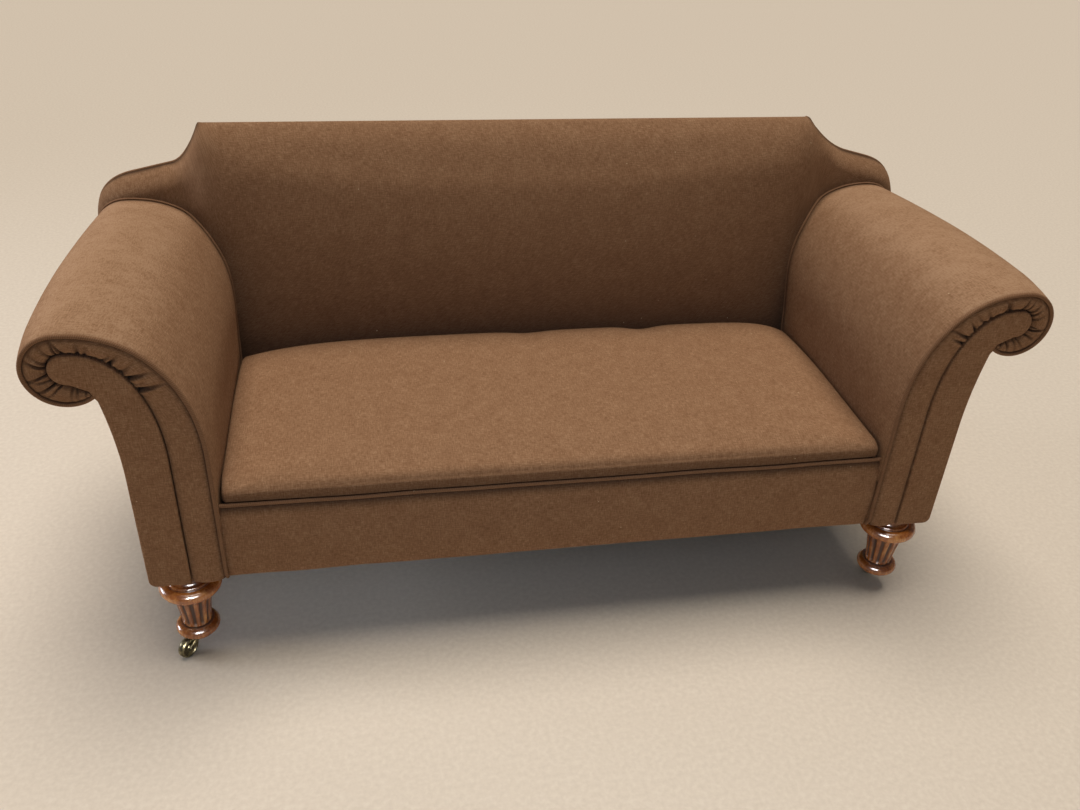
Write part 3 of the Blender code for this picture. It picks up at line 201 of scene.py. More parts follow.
def feed(tree: NodeTree, node: Node, inputs: dict[Any, Any]) -> None:
    """Give a node its inputs.

    Args:
        tree: The node's tree.
        node: The node.
        inputs: Values by the input's name or number; an output socket is linked.
    """
    for name, value in inputs.items():
        if isinstance(value, Socket):
            tree.links.new(value, node.inputs[name])
        else:
            node.inputs[name].default_value = value


def add_node(tree: NodeTree, kind: str, inputs: dict[Any, Any] | None = None, **settings: Any) -> Node:
    """Add a node with its settings and inputs.

    Args:
        tree: The shader or geometry tree.
        kind: The node's type.
        inputs: Values or links for its inputs, by name or number.
        settings: Values for its properties.

    Returns:
        The node.
    """
    node = tree.nodes.new(kind)
    for name, value in settings.items():
        setattr(node, name, value)
    feed(tree, node, inputs or {})
    return node


@dataclass(frozen=True)
class Recipe:
    """A material's node tree and principled shader while a finish is being mixed."""

    tree: NodeTree
    shader: Node

    def add(self, kind: str, inputs: dict[Any, Any] | None = None, **settings: Any) -> Node:
        """Add a shader node of a kind, named without its prefix."""
        return add_node(self.tree, "ShaderNode" + kind, inputs, **settings)

    def give(self, **inputs: Any) -> None:
        """Give the shader its inputs, written with underscores for blanks."""
        feed(self.tree, self.shader, {name.replace("_", " "): value for name, value in inputs.items()})

    def kept(self, name: str) -> Socket:
        """Read a number that the mesh keeps for each of its points."""
        return self.add("Attribute", attribute_name=name).outputs["Fac"]

    def cloth_map(self) -> Socket:
        """Read the cloth's own map, in metres."""
        return self.add("UVMap", uv_map=CLOTH_UV).outputs[0]

    def sums(self, kind: str, first: Any, second: Any = 0.0, third: Any = 0.0) -> Socket:
        """Reckon with up to three numbers or sockets."""
        return self.add("Math", {0: first, 1: second, 2: third}, operation=kind).outputs[0]

    def times(self, first: Any, second: Any, plus: Any = 0.0) -> Socket:
        """Multiply two numbers or sockets and add a third."""
        return self.sums("MULTIPLY_ADD", first, second, plus)

    def blend(self, factor: Socket, first: Socket, second: str) -> Socket:
        """Mix a hex colour into another colour by a factor."""
        parts = {0: factor, 6: first, 7: hex_linear(second)}
        return self.add("Mix", parts, data_type="RGBA").outputs[2]

    def spots(self, size: float, stretch: Sequence[float] = (1.0, 1.0, 1.0)) -> Socket:
        """Add soft noise on the object's own coordinates.

        Args:
            size: Size of a spot in metres.
            stretch: How much longer a spot is along X, Y and Z.

        Returns:
            The noise, about 0.5 on average.
        """
        place = self.add("TexCoord").outputs["Object"]
        scale = [1.0 / (size * part) for part in stretch]
        turned = self.add("Mapping", {"Vector": place, "Scale": scale})
        parts = {"Vector": turned.outputs[0], "Scale": 1.0, "Detail": 3.0, "Roughness": 0.55}
        return self.add("TexNoise", parts).outputs["Fac"]

    def relief(self, height: Socket, depth: float, strength: float) -> None:
        """Give the shader a bump.

        Args:
            height: The relief, from 0 to 1.
            depth: Its depth in metres.
            strength: Its share.
        """
        bump = self.add("Bump", {"Height": height, "Distance": depth, "Strength": strength})
        self.give(Normal=bump.outputs[0])


@dataclass(frozen=True)
class Finish:
    """A material made of nodes, built once and kept by its name."""

    name: str
    deep: str
    mid: str
    pale: str
    roughness: float

    def material(self) -> Material:
        """Give the finish's material, built on first use.

        Returns:
            The material.
        """
        known = bpy.data.materials.get(self.name)
        if known is not None:
            return known
        material = bpy.data.materials.new(self.name)
        material.use_nodes = True
        tree = material.node_tree
        tree.nodes.clear()
        shader = add_node(tree, "ShaderNodeBsdfPrincipled", {"Roughness": self.roughness})
        add_node(tree, "ShaderNodeOutputMaterial", {"Surface": shader.outputs[0]})
        self.dress(Recipe(tree, shader))
        material.diffuse_color = hex_linear(self.mid)
        return material

    def dress(self, recipe: Recipe) -> None:
        """Link the colour and relief of the finish to its shader."""
        raise NotImplementedError

    def tones(self, recipe: Recipe, share: Socket, low: float, high: float) -> Socket:
        """Run the finish's three colours over a share.

        Args:
            recipe: The material's recipe.
            share: What the colours follow.
            low: Where the deep colour ends.
            high: Where the pale colour begins.

        Returns:
            The colour.
        """
        ramp = recipe.add("ValToRGB", {"Fac": share})
        stops = ramp.color_ramp.elements
        stops[0].position, stops[0].color = low, hex_linear(self.deep)
        stops[1].position, stops[1].color = high, hex_linear(self.pale)
        stops.new((low + high) / 2).color = hex_linear(self.mid)
        return ramp.outputs["Color"]


@dataclass(frozen=True)
class WoolCloth(Finish):
    """Brown wool cloth, plain woven: matt, a little fuzzy, with uneven threads and bits of lint.

    Its threads lie about 1.2 mm apart, too fine to show, so they are drawn at thread_mm.
    """

    thread_mm: float = 2.4
    slub_mm: tuple[float, float] = (2.2, 13.0)
    fuzz: float = 0.0022
    mottle: float = 0.035
    worn_and_lit_patch: float = 0.07
    lint: str = "#C9B595"
    lint_per_metre: float = 20.0
    lint_size: float = 0.026
    # The colour of the painted shade.
    shade: str = "#24160E"
    sheen: str = "#B08A66"

    def slubs(self, recipe: Recipe) -> Socket:
        """Draw thick and thin places in the threads, along and across the cloth.

        Returns:
            How thick the threads are, about 0.5 on average.
        """
        cloth = recipe.cloth_map()
        wide, long = (1000.0 / size for size in self.slub_mm)
        runs = []
        for scale in ((wide, long, 1.0), (long, wide, 1.0)):
            place = recipe.add("Mapping", {"Vector": cloth, "Scale": scale})
            parts = {"Vector": place.outputs[0], "Scale": 1.0, "Detail": 2.0, "Roughness": 0.6}
            runs.append(recipe.add("TexNoise", parts, noise_dimensions="2D").outputs["Fac"])
        return recipe.sums("MULTIPLY", recipe.sums("ADD", *runs), 0.5)

    def turns(self) -> float:
        """Give the angle that the weave's wave turns through in a metre."""
        return 2.0 * math.pi / (self.thread_mm / 1000.0)

    def threads(self, recipe: Recipe) -> Socket:
        """Weave threads over and under each other on the cloth's own map.

        Returns:
            The height of the weave, from 0 to 1.
        """
        parts = recipe.add("SeparateXYZ", {0: recipe.cloth_map()}).outputs
        waves = [recipe.sums("SINE", recipe.sums("MULTIPLY", parts[k], self.turns())) for k in (0, 1)]
        return recipe.times(recipe.sums("MULTIPLY", *waves), 0.5, 0.5)

    def dress(self, recipe: Recipe) -> None:
        """Link weave, mottling, painted shade in creases, wear and painted light on the arm tops, and lint.
        """
        weave = self.threads(recipe)
        slubs = self.slubs(recipe)
        tone = recipe.times(recipe.spots(self.mottle), 0.25, 0.375)
        for part, share in ((recipe.spots(self.fuzz), 0.45), (slubs, 1.1), (weave, 0.25)):
            tone = recipe.times(recipe.sums("SUBTRACT", part, 0.5), share, tone)
        # Wear and painted light: the arm's up-facing tops are lightened in patches.
        patchy = recipe.times(recipe.spots(self.worn_and_lit_patch), 0.3, 0.05)
        tone = recipe.times(recipe.kept("worn_and_lit"), patchy, tone)
        colour = self.tones(recipe, tone, 0.2, 0.8)
        # Painted shade where the crease attribute marks creases, seams, tucks and hollows.
        colour = recipe.blend(recipe.kept("crease"), colour, self.shade)
        place = recipe.add("TexCoord").outputs["Object"]
        cells = recipe.add("TexVoronoi", {"Vector": place, "Scale": self.lint_per_metre})
        bits = recipe.sums("LESS_THAN", cells.outputs["Distance"], self.lint_size)
        colour = recipe.blend(recipe.sums("MULTIPLY", bits, 0.8), colour, self.lint)
        recipe.relief(recipe.times(slubs, 1.5, weave), 0.0005, 0.6)
        recipe.give(Base_Color=colour, Specular_IOR_Level=0.06)
        recipe.give(Sheen_Weight=0.15, Sheen_Roughness=0.55, Sheen_Tint=hex_linear(self.sheen))


@dataclass(frozen=True)
class BiasPiping(WoolCloth):
    """The same wool cut on the bias round a cord: darker, its threads crossing it aslant."""

    def threads(self, recipe: Recipe) -> Socket:
        """Lay threads aslant round the cord.

        Returns:
            The height of the threads, from 0 to 1.
        """
        slant = recipe.sums("MULTIPLY", recipe.kept("around"), 4.0 * math.pi)
        wave = recipe.sums("SINE", recipe.times(recipe.kept("along"), self.turns(), slant))
        return recipe.times(wave, 0.5, 0.5)


@dataclass(frozen=True)
class PolishedWalnut(Finish):
    """Turned walnut under old wax polish: warm streaks up the leg, painted shade in hollows, glossy."""

    grain: float = 0.0045
    grain_length: float = 11.0
    cloud: float = 0.030
    hollow_shade: str = "#2E160A"

    def dress(self, recipe: Recipe) -> None:
        """Link grain, clouds, and the painted shade and dullness that lie in hollows."""
        grain = recipe.spots(self.grain, (1.0, 1.0, self.grain_length))
        tone = recipe.times(recipe.spots(self.cloud), 0.6, recipe.sums("MULTIPLY", grain, 0.4))
        hollow = recipe.kept("crease")
        # Painted shade in the flutes and turned hollows, from the crease attribute.
        colour = recipe.blend(hollow, self.tones(recipe, tone, 0.34, 0.66), self.hollow_shade)
        recipe.relief(grain, 0.0002, 0.1)
        recipe.give(Base_Color=colour, Roughness=recipe.times(hollow, 0.3, self.roughness))
        recipe.give(Coat_Weight=recipe.times(hollow, -0.7, 0.85), Coat_Roughness=0.09)


@dataclass(frozen=True)
class AgedBrass(Finish):
    """Cast brass gone dark with age: brown patches, rubbed brighter between them, a soft shine."""

    patch: float = 0.009
    pitting: float = 0.0016

    def dress(self, recipe: Recipe) -> None:
        """Link patches and fine pitting."""
        patches = recipe.spots(self.patch)
        dull = recipe.times(patches, -0.25, self.roughness + 0.12)
        recipe.relief(recipe.spots(self.pitting), 0.0003, 0.5)
        recipe.give(Base_Color=self.tones(recipe, patches, 0.32, 0.68), Roughness=dull, Metallic=0.6)


@dataclass(frozen=True)
class PlainStuff(Finish):
    """A stuff that is seen little or not at all: streaked or speckled, with a light relief."""

    size: float
    grain: tuple[float, float, float] = (1.0, 1.0, 1.0)
    metallic: float = 0.0

    def dress(self, recipe: Recipe) -> None:
        """Link streaks or specks of the stuff's own size."""
        specks = recipe.spots(self.size, self.grain)
        recipe.relief(specks, 0.0004, 0.4)
        recipe.give(Base_Color=self.tones(recipe, specks, 0.3, 0.7), Metallic=self.metallic)


WOOL = WoolCloth("brown_wool_cloth", "#735139", "#8B684C", "#A68467", 0.95)
PIPING = BiasPiping("bias_cut_wool_piping", "#654630", "#7D5C43", "#957359", 0.95, 3.2)
WALNUT = PolishedWalnut("polished_walnut", "#7A3F17", "#B1672A", "#D99A54", 0.24)
BRASS = AgedBrass("aged_cast_brass", "#3A3425", "#6A6146", "#A0946E", 0.38)
BEECH = PlainStuff("sawn_beech", "#A9804F", "#BC9362", "#CBA677", 0.65, 0.004, (12.0, 1.0, 1.0))
HESSIAN = PlainStuff("jute_hessian", "#83694A", "#9A7E5B", "#B0946F", 0.95, 0.0025)
LINING = PlainStuff("black_lining_cloth", "#1A1918", "#23211F", "#2E2B28", 0.95, 0.0015, (1.0, 3.0, 1.0))
STEEL = PlainStuff("drawn_steel_wire", "#6E6A66", "#8B8782", "#A5A19B", 0.42, 0.002, metallic=1.0)
CARPET = PlainStuff("pale_floor", "#C8BCAD", "#CDC1B2", "#D2C7B8", 0.95, 0.010)
NODE_FINISHES = {"frame_timber": BEECH, "hessian": HESSIAN, "spring_steel": STEEL}


def skin(name: str, rows: list[list[Vector]], ends: Ends = Ends.FILLED, sharp: float | None = None) -> Mesh:
    """Skin closed rings of points with four-sided faces.

    Args:
        name: The mesh's name.
        rows: The rings, all of one count.
        ends: How the end rings close; a bridged ring's second half runs back along its first.
        sharp: The angle in degrees beyond which an edge stays sharp; without it none does.

    Returns:
        The mesh, smooth, its cloth map in metres along and across the rings.
    """
    count = len(rows[0])
    bm = bmesh.new()
    verts = [[bm.verts.new(point) for point in row] for row in rows]
    layer = bm.loops.layers.uv.new(CLOTH_UV)
    across = []
    for row in rows:
        run = [0.0]
        for j in range(count):
            run.append(run[-1] + (row[(j + 1) % count] - row[j]).length)
        across.append(run)
    along = [[0.0] * (count + 1)]
    for first, second in zip(rows, rows[1:]):
        along.append([along[-1][j] + (second[j % count] - first[j % count]).length for j in range(count + 1)])
    for i in range(len(rows) - 1):
        for j in range(count):
            corners = ((i, j), (i, j + 1), (i + 1, j + 1), (i + 1, j))
            face = bm.faces.new([verts[a][b % count] for a, b in corners])
            for loop, (a, b) in zip(face.loops, corners):
                loop[layer].uv = (across[a][b], along[a][b])
    caps = []
    for i in (0, len(rows) - 1):
        if ends is Ends.FILLED:
            caps.append(bm.faces.new(verts[i]))
        else:
            for j in range(count // 2 - 1):
                corners = (j, j + 1, count - 2 - j, count - 1 - j)
                caps.append(bm.faces.new([verts[i][b] for b in corners]))
    for face in caps:
        for loop in face.loops:
            loop[layer].uv = (loop.vert.co.x + loop.vert.co.y, loop.vert.co.z)
    bmesh.ops.recalc_face_normals(bm, faces=bm.faces)
    return mesh_from(name, bm, sharp)


def bridge(bm: BMesh, first: Sequence[BMVert], second: Sequence[BMVert]) -> None:
    """Join two closed rings of one count with four-sided faces."""
    for j in range(len(first)):
        k = (j + 1) % len(first)
        bm.faces.new((first[j], first[k], second[k], second[j]))


def lathe(profile: Iterable[tuple[float, float]], matrix: Matrix, around: int) -> list[list[Vector]]:
    """Turn a profile about Z and put it in place.

    Args:
        profile: Radius and height of each ring.
        matrix: Where the axis lies.
        around: How many points a ring has.

    Returns:
        The rings, one for each point of the profile.
    """
    angles = [2 * math.pi * k / around for k in range(around)]
    rings = []
    for radius, z in profile:
        reach = max(radius, PIN_POINT)
        rings.append([matrix @ Vector((reach * math.cos(a), reach * math.sin(a), z)) for a in angles])
    return rings


def spin(bm: BMesh, profile: Iterable[tuple[float, float]], matrix: Matrix, around: int) -> None:
    """Turn a closed profile about Z into a ring with a hole through it.

    Args:
        bm: The working mesh, which takes the ring.
        profile: Radius and height of each point of the section.
        matrix: Where the axis lies.
        around: How many sections there are.
    """
    sections = [[bm.verts.new(point) for point in row] for row in zip(*lathe(profile, matrix, around))]
    for first, second in zip(sections, sections[1:] + sections[:1]):
        bridge(bm, first, second)


def lay_flat(mesh: Mesh) -> None:
    """Map a flat panel's cloth in metres, across by X and up by height.

    Args:
        mesh: The panel's mesh.
    """
    layer = mesh.uv_layers.get(CLOTH_UV) or mesh.uv_layers.new(name=CLOTH_UV)
    for loop, place in zip(mesh.loops, layer.uv):
        point = mesh.vertices[loop.vertex_index].co
        place.vector = (point.x, point.z)


def mesh_from(name: str, bm: BMesh, sharp: float | None = None) -> Mesh:
    """Turn a working mesh into a smooth mesh.

    Args:
        name: The mesh's name.
        bm: The working mesh, which is freed.
        sharp: The angle in degrees beyond which an edge stays sharp; without it none does.

    Returns:
        The mesh.
    """
    mesh = bpy.data.meshes.new(name)
    bm.to_mesh(mesh)
    bm.free()
    mesh.polygons.foreach_set("use_smooth", [True] * len(mesh.polygons))
    if sharp is not None:
        mesh.set_sharp_from_angle(angle=math.radians(sharp))
    return mesh


def put(name: str, data: ID) -> Object:
    """Put a mesh, curve, camera or light into the scene as an object."""
    thing = bpy.data.objects.new(name, data)
    bpy.context.scene.collection.objects.link(thing)
    return thing


def made_mesh(piece: Object) -> Mesh:
    """Give what an object and its modifiers make as a new mesh."""
    graph = bpy.context.evaluated_depsgraph_get()
    return bpy.data.meshes.new_from_object(piece.evaluated_get(graph), depsgraph=graph)


def settle(piece: Object) -> None:
    """Keep what a piece's modifiers make as its own plain mesh."""
    mesh = made_mesh(piece)
    piece.modifiers.clear()
    piece.data = mesh
    mesh.name = piece.name


def add_piece(name: str, mesh: Mesh, finish: Finish, levels: int = 0) -> Object:
    """Add a mesh to the scene as a piece in its finish.

    Args:
        name: The piece's name.
        mesh: Its mesh, in place.
        finish: Its finish.
        levels: How often it is subdivided; the result is kept as a plain mesh.

    Returns:
        The piece.
    """
    mesh.name = name
    mesh.materials.append(finish.material())
    piece = put(name, mesh)
    if levels:
        rounding = piece.modifiers.new("rounding", "SUBSURF")
        rounding.levels = levels
        rounding.render_levels = levels
        settle(piece)
    return piece


def join_frame(piece: Object, body: str, slot: str, *nodes: str) -> None:
    """Make a piece ride on a body and stand for CAD nodes.

    Args:
        piece: The piece.
        body: The body it rides on.
        slot: The record's material slot; not used.
        nodes: The nodes it stands for.
    """
    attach(piece, body)
    if nodes:
        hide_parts(*nodes)
    LOG.info("%s on %s: %d faces", piece.name, body, len(piece.data.polygons))


def add_cover(name: str, mesh: Mesh, node: str, levels: int = 1) -> None:
    """Add a mesh as a wool cover that stands for a stuffed node.

    Args:
        name: The piece's name.
        mesh: Its mesh, in place.
        node: The node it stands for.
        levels: How often it is subdivided.
    """
    cover = add_piece(name, mesh, WOOL, levels)
    join_frame(cover, SOFA, "cover", node)


def mark(mesh: Mesh, values: Iterable[float], name: str = "crease") -> None:
    """Keep a number for each of a mesh's points under a name."""
    mesh.attributes.new(name, "FLOAT", "POINT").data.foreach_set("value", list(values))


@dataclass(frozen=True)
class Stuffing:
    """How a cover swells over its stuffing while its edges are held."""

    pressure: float = 3.0
    most: float = 0.004
    frames: int = 16

    def plump(self, mesh: Mesh, held: Callable[[int], bool]) -> None:
        """Args:
            mesh: The mesh, changed in place.
            held: Says of a point's number whether it stays.
        """
        scene = bpy.context.scene
        puppet = put("swelling", mesh.copy())
        group = puppet.vertex_groups.new(name="held")
        group.add([k for k in range(len(mesh.vertices)) if held(k)], 1.0, "REPLACE")
        cloth = puppet.modifiers.new("cover", "CLOTH")
        cloth.settings.quality = 4
        cloth.settings.vertex_group_mass = "held"
        cloth.settings.use_pressure = True
        cloth.settings.uniform_pressure_force = self.pressure
        cloth.settings.effector_weights.gravity = 0.0
        cloth.collision_settings.use_collision = False
        cloth.point_cache.frame_start = 1
        cloth.point_cache.frame_end = self.frames
        for number in range(1, self.frames + 1):
            scene.frame_set(number)
        swollen = puppet.evaluated_get(bpy.context.evaluated_depsgraph_get()).to_mesh()
        moved = 0.0
        for point, target in zip(mesh.vertices, swollen.vertices):
            step = target.co - point.co
            if step.length > self.most:
                step *= self.most / step.length
            moved = max(moved, step.length)
            point.co += step
        LOG.info("%s swells by up to %.1f mm", mesh.name, moved * 1000.0)
        puppet_mesh = puppet.data
        bpy.data.objects.remove(puppet, do_unlink=True)
        bpy.data.meshes.remove(puppet_mesh)
        scene.frame_set(1)


class Trim:
    """Geometry Nodes for what follows a line: piping, and tacks along an edge."""

    def __init__(self) -> None:
        """Build the two trees."""
        self.piping = self.piping_tree()
        self.tacks = self.tack_tree()

    @staticmethod
    def new_tree(name: str, sizes: dict[str, float]) -> tuple[NodeTree, Node]:
        """Start a tree with a geometry, sizes and a material as its inputs.

        Args:
            name: The tree's name.
            sizes: Its sizes and their defaults.

        Returns:
            The tree and its input node.
        """
        tree = bpy.data.node_groups.new(name, "GeometryNodeTree")
        tree.interface.new_socket("Geometry", in_out="INPUT", socket_type="NodeSocketGeometry")
        for label, value in sizes.items():
            socket = tree.interface.new_socket(label, in_out="INPUT", socket_type="NodeSocketFloat")
            socket.default_value = value
        tree.interface.new_socket("Finish", in_out="INPUT", socket_type="NodeSocketMaterial")
        tree.interface.new_socket("Geometry", in_out="OUTPUT", socket_type="NodeSocketGeometry")
        return tree, add_node(tree, "NodeGroupInput")

    @staticmethod
    def end_tree(tree: NodeTree, made: Socket, finish: Socket) -> None:
        """End a tree with its instances made real and its material set.

        Args:
            tree: The tree.
            made: What it makes.
            finish: Its material input.
        """
        smooth = add_node(tree, "GeometryNodeSetShadeSmooth", {"Geometry": made})
        real = add_node(tree, "GeometryNodeRealizeInstances", {"Geometry": smooth.outputs[0]})
        dressed = add_node(tree, "GeometryNodeSetMaterial", {"Geometry": real.outputs[0], "Material": finish})
        add_node(tree, "NodeGroupOutput", {"Geometry": dressed.outputs[0]})

    def piping_tree(self) -> NodeTree:
        """Build a covered cord along a line, which keeps how far along and around a point lies.

        Returns:
            The tree.
        """
        tree, given = self.new_tree("piping_cord", {"Radius": PIPING_RADIUS, "Step": 0.004})
        line = add_node(tree, "GeometryNodeMeshToCurve", {"Mesh": given.outputs["Geometry"]})
        spaced = {"Curve": line.outputs[0], "Length": given.outputs["Step"]}
        line = add_node(tree, "GeometryNodeResampleCurve", spaced, mode="LENGTH")
        sizes = {"Resolution": 12, "Radius": given.outputs["Radius"]}
        ring = add_node(tree, "GeometryNodeCurvePrimitiveCircle", sizes)
        kept = []
        for curve, label, output in ((line, "along", "Length"), (ring, "around", "Factor")):
            run = add_node(tree, "GeometryNodeSplineParameter").outputs[output]
            parts = {"Geometry": curve.outputs[0], "Name": label, "Value": run}
            kept.append(add_node(tree, "GeometryNodeStoreNamedAttribute", parts, data_type="FLOAT"))
        swept = {"Curve": kept[0].outputs[0], "Profile Curve": kept[1].outputs[0], "Fill Caps": True}
        cord = add_node(tree, "GeometryNodeCurveToMesh", swept)
        self.end_tree(tree, cord.outputs[0], given.outputs["Finish"])
        return tree

    def tack_tree(self) -> NodeTree:
        """Build a domed tack head on each point.

        Returns:
            The tree.
        """
        tree, given = self.new_tree("tack_heads", {"Radius": TACK_RADIUS})
        sizes = {"Segments": 10, "Rings": 6, "Radius": given.outputs["Radius"]}
        dome = add_node(tree, "GeometryNodeMeshUVSphere", sizes)
        squashed = {"Geometry": dome.outputs[0], "Scale": (1.0, 1.0, 0.45)}
        flat = add_node(tree, "GeometryNodeTransform", squashed)
        parts = {"Points": given.outputs["Geometry"], "Instance": flat.outputs[0]}
        heads = add_node(tree, "GeometryNodeInstanceOnPoints", parts)
        self.end_tree(tree, heads.outputs[0], given.outputs["Finish"])
        return tree

    @staticmethod
    def run(mesh: Mesh, tree: NodeTree, finish: Finish, radius: float) -> Object:
        """Run a tree over a mesh's points and keep what it makes as a plain mesh.

        Args:
            mesh: The points and their edges, named as the piece.
            tree: One of the two trees.
            finish: The piece's finish.
            radius: The radius of the cord or the tacks.

        Returns:
            The piece.
        """
        piece = put(mesh.name, mesh)
        maker = piece.modifiers.new("trim", "NODES")
        maker.node_group = tree
        values = {"Finish": finish.material(), "Radius": radius}
        for socket in tree.interface.items_tree:
            if socket.name in values:
                maker[socket.identifier] = values[socket.name]
        settle(piece)
        return piece

    def pipe(self, name: str, line: Sequence[Vector], *nodes: str, radius: float = PIPING_RADIUS) -> None:
        """Run piping along a line of the sofa.

        Args:
            name: The piece's name.
            line: Its points.
            nodes: The nodes it stands for.
            radius: The cord's radius.
        """
        mesh = bpy.data.meshes.new(name)
        mesh.from_pydata(line, [(k, k + 1) for k in range(len(line) - 1)], [])
        join_frame(self.run(mesh, self.piping, PIPING, radius), SOFA, "piping", *nodes)

    def tack(self, name: str, places: Sequence[Vector]) -> Object:
        """Drive tacks into the sofa's underside.

        Args:
            name: The piece's name.
            places: Where the tacks are.

        Returns:
            The piece.
        """
        mesh = bpy.data.meshes.new(name)
        mesh.from_pydata(places, [], [])
        tacks = self.run(mesh, self.tacks, STEEL, TACK_RADIUS)
        join_frame(tacks, SOFA, "spring_steel")
        return tacks


@dataclass(frozen=True)
class ArmShape:
    """Sizes and sections of a scroll arm, drawn on the right-hand side."""

    inside_x: float = 0.635
    spring_line: float = 0.465
    fullness: float = 2.25
    crown: float = 0.022
    rear_crown: float = 0.011
    fall: float = 0.043
    taper: float = 0.002
    scroll_radius: float = 0.066
    scroll_x: float = 0.834
    scroll_height: float = 0.661
    crotch_angle: float = -128.0
    base_x: float = 0.776
    flare_line: float = 0.440
    panel: float = 0.007
    board_front: float = 0.0223
    board_rear: float = 0.0623
    back_depth: float = 0.551

    def scroll(self, depth: float) -> tuple[Vector, float]:
        """Give the scroll's axis (X, height) and radius at a depth."""
        share = clamp((depth - self.board_rear) / (self.back_depth - self.board_rear))
        height = self.scroll_height - (self.fall - self.taper) * share
        return Vector((self.scroll_x, height)), self.scroll_radius - self.taper * share

    def swell(self, depth: float, start: float) -> float:
        """Give how far the roll swells at a depth, from nothing at its start."""
        share = clamp((depth - start) / (self.back_depth - start))
        if share < 0.5:
            return self.crown * math.sin(math.pi * share) ** 0.7
        return self.crown - (self.crown - self.rear_crown) * (2.0 * share - 1.0) ** 2

    def round(self, depth: float, inward: float, swell: float, steps: int) -> list[Vector]:
        """List the roll's surface from the crest round to the crotch, where the swell runs out.

        Args:
            depth: The depth of the section.
            inward: How far inside the surface the line runs.
            swell: How far the roll swells.
            steps: How many steps it has.

        Returns:
            Points of X and height.
        """
        axis, radius = self.scroll(depth)
        points = []
        for k in range(steps + 1):
            share = k / steps
            angle = math.radians(90.0 + (self.crotch_angle - 90.0) * share)
            reach = radius - inward + swell * (1.0 - share ** 3)
            points.append(axis + reach * heading(angle))
        return points

    def climb(
        self, start: float, foot: float, crest: float, rise: float, steps: Steps, swell: float = 0.0
    ) -> list[Vector]:
        """List a line straight up to the spring line and from there curving over to a crest.

        Args:
            start: X of the straight.
            foot: The height where it starts.
            crest: X of the crest.
            rise: How far the crest lies above the spring line.
            steps: Steps up the straight, up the curve and round the scroll, which isn't drawn here.
            swell: How far the curve swells inwards.

        Returns:
            Points of X and height, without the crest.
        """
        power = 2.0 / self.fullness
        points = [Vector((start, z)) for z in spread(foot, self.spring_line, steps[0])[:-1]]
        for k in range(steps[1]):
            angle = math.pi / 2 * k / steps[1]
            along = (crest - start + swell * math.sin(angle)) * math.cos(angle) ** power
            points.append(Vector((crest - along, self.spring_line + rise * math.sin(angle) ** power)))
        return points

    def path(self, depth: float, inward: float, foot: float, swell: float, steps: Steps) -> list[Vector]:
        """List the arm's surface up the inside, over the crest and round the scroll.

        Args:
            depth: The depth of the section.
            inward: How far inside the surface the line runs.
            foot: The height where it starts.
            swell: How far the roll swells.
            steps: Steps up the straight, up the curve and round the scroll.

        Returns:
            Points of X and height.
        """
        axis, radius = self.scroll(depth)
        rise = axis.y + radius + swell - self.spring_line - inward
        points = self.climb(self.inside_x + inward, foot, axis.x, rise, steps, swell)
        return points + self.round(depth, inward, swell, steps[2])

    def crotch(self, depth: float, inward: float = 0.0) -> Vector:
        """Give the point (X, height) where the scroll tucks in under itself."""
        axis, radius = self.scroll(depth)
        angle = math.radians(self.crotch_angle)
        return axis + (radius - inward) * heading(angle)

    def outside(self, z: float, depth: float) -> float:
        """Give the outside arm's X at a height: straight, then flaring into the crotch."""
        tip = self.crotch(depth)
        share = max((z - self.flare_line) / (tip.y - self.flare_line), 0.0)
        return self.base_x + (tip.x - self.base_x) * share ** 2

    def outside_edge(self, depth: float, foot: float, steps: int) -> list[Vector]:
        """List the outside arm's edge (X, height) from just under the crotch down to a foot."""
        top = self.crotch(depth).y - self.panel
        return [Vector((self.outside(z, depth), z)) for z in spread(top, foot, steps)]


@dataclass(frozen=True)
class WingEdge:
    """The top edge of one wing as X and height: a falling line that a rounded end takes down."""

    shoulder: tuple[float, float]
    fall: float
    round_from: float
    knuckle: float
    tip: tuple[float, float]

    def line(self, x: float) -> float:
        """Give the height of the falling line at an X."""
        return self.shoulder[1] - self.fall * (x - self.shoulder[0])

    def end(self, t: float) -> Vector:
        """Give a point of the rounded end, from the falling line at 0 to the tip at 1."""
        start, bend = (Vector((x, self.line(x))) for x in (self.round_from, self.knuckle))
        return start * (1.0 - t) ** 2 + bend * 2 * t * (1.0 - t) + Vector(self.tip) * t ** 2

    def end_height(self, x: float) -> float:
        """Give the height of the rounded end at an X."""
        bend = self.round_from - 2 * self.knuckle + self.tip[0]
        lead = self.knuckle - self.round_from
        root = math.sqrt(max(lead ** 2 - bend * (self.round_from - min(x, self.tip[0])), 0.0))
        return self.end((root - lead) / bend).y


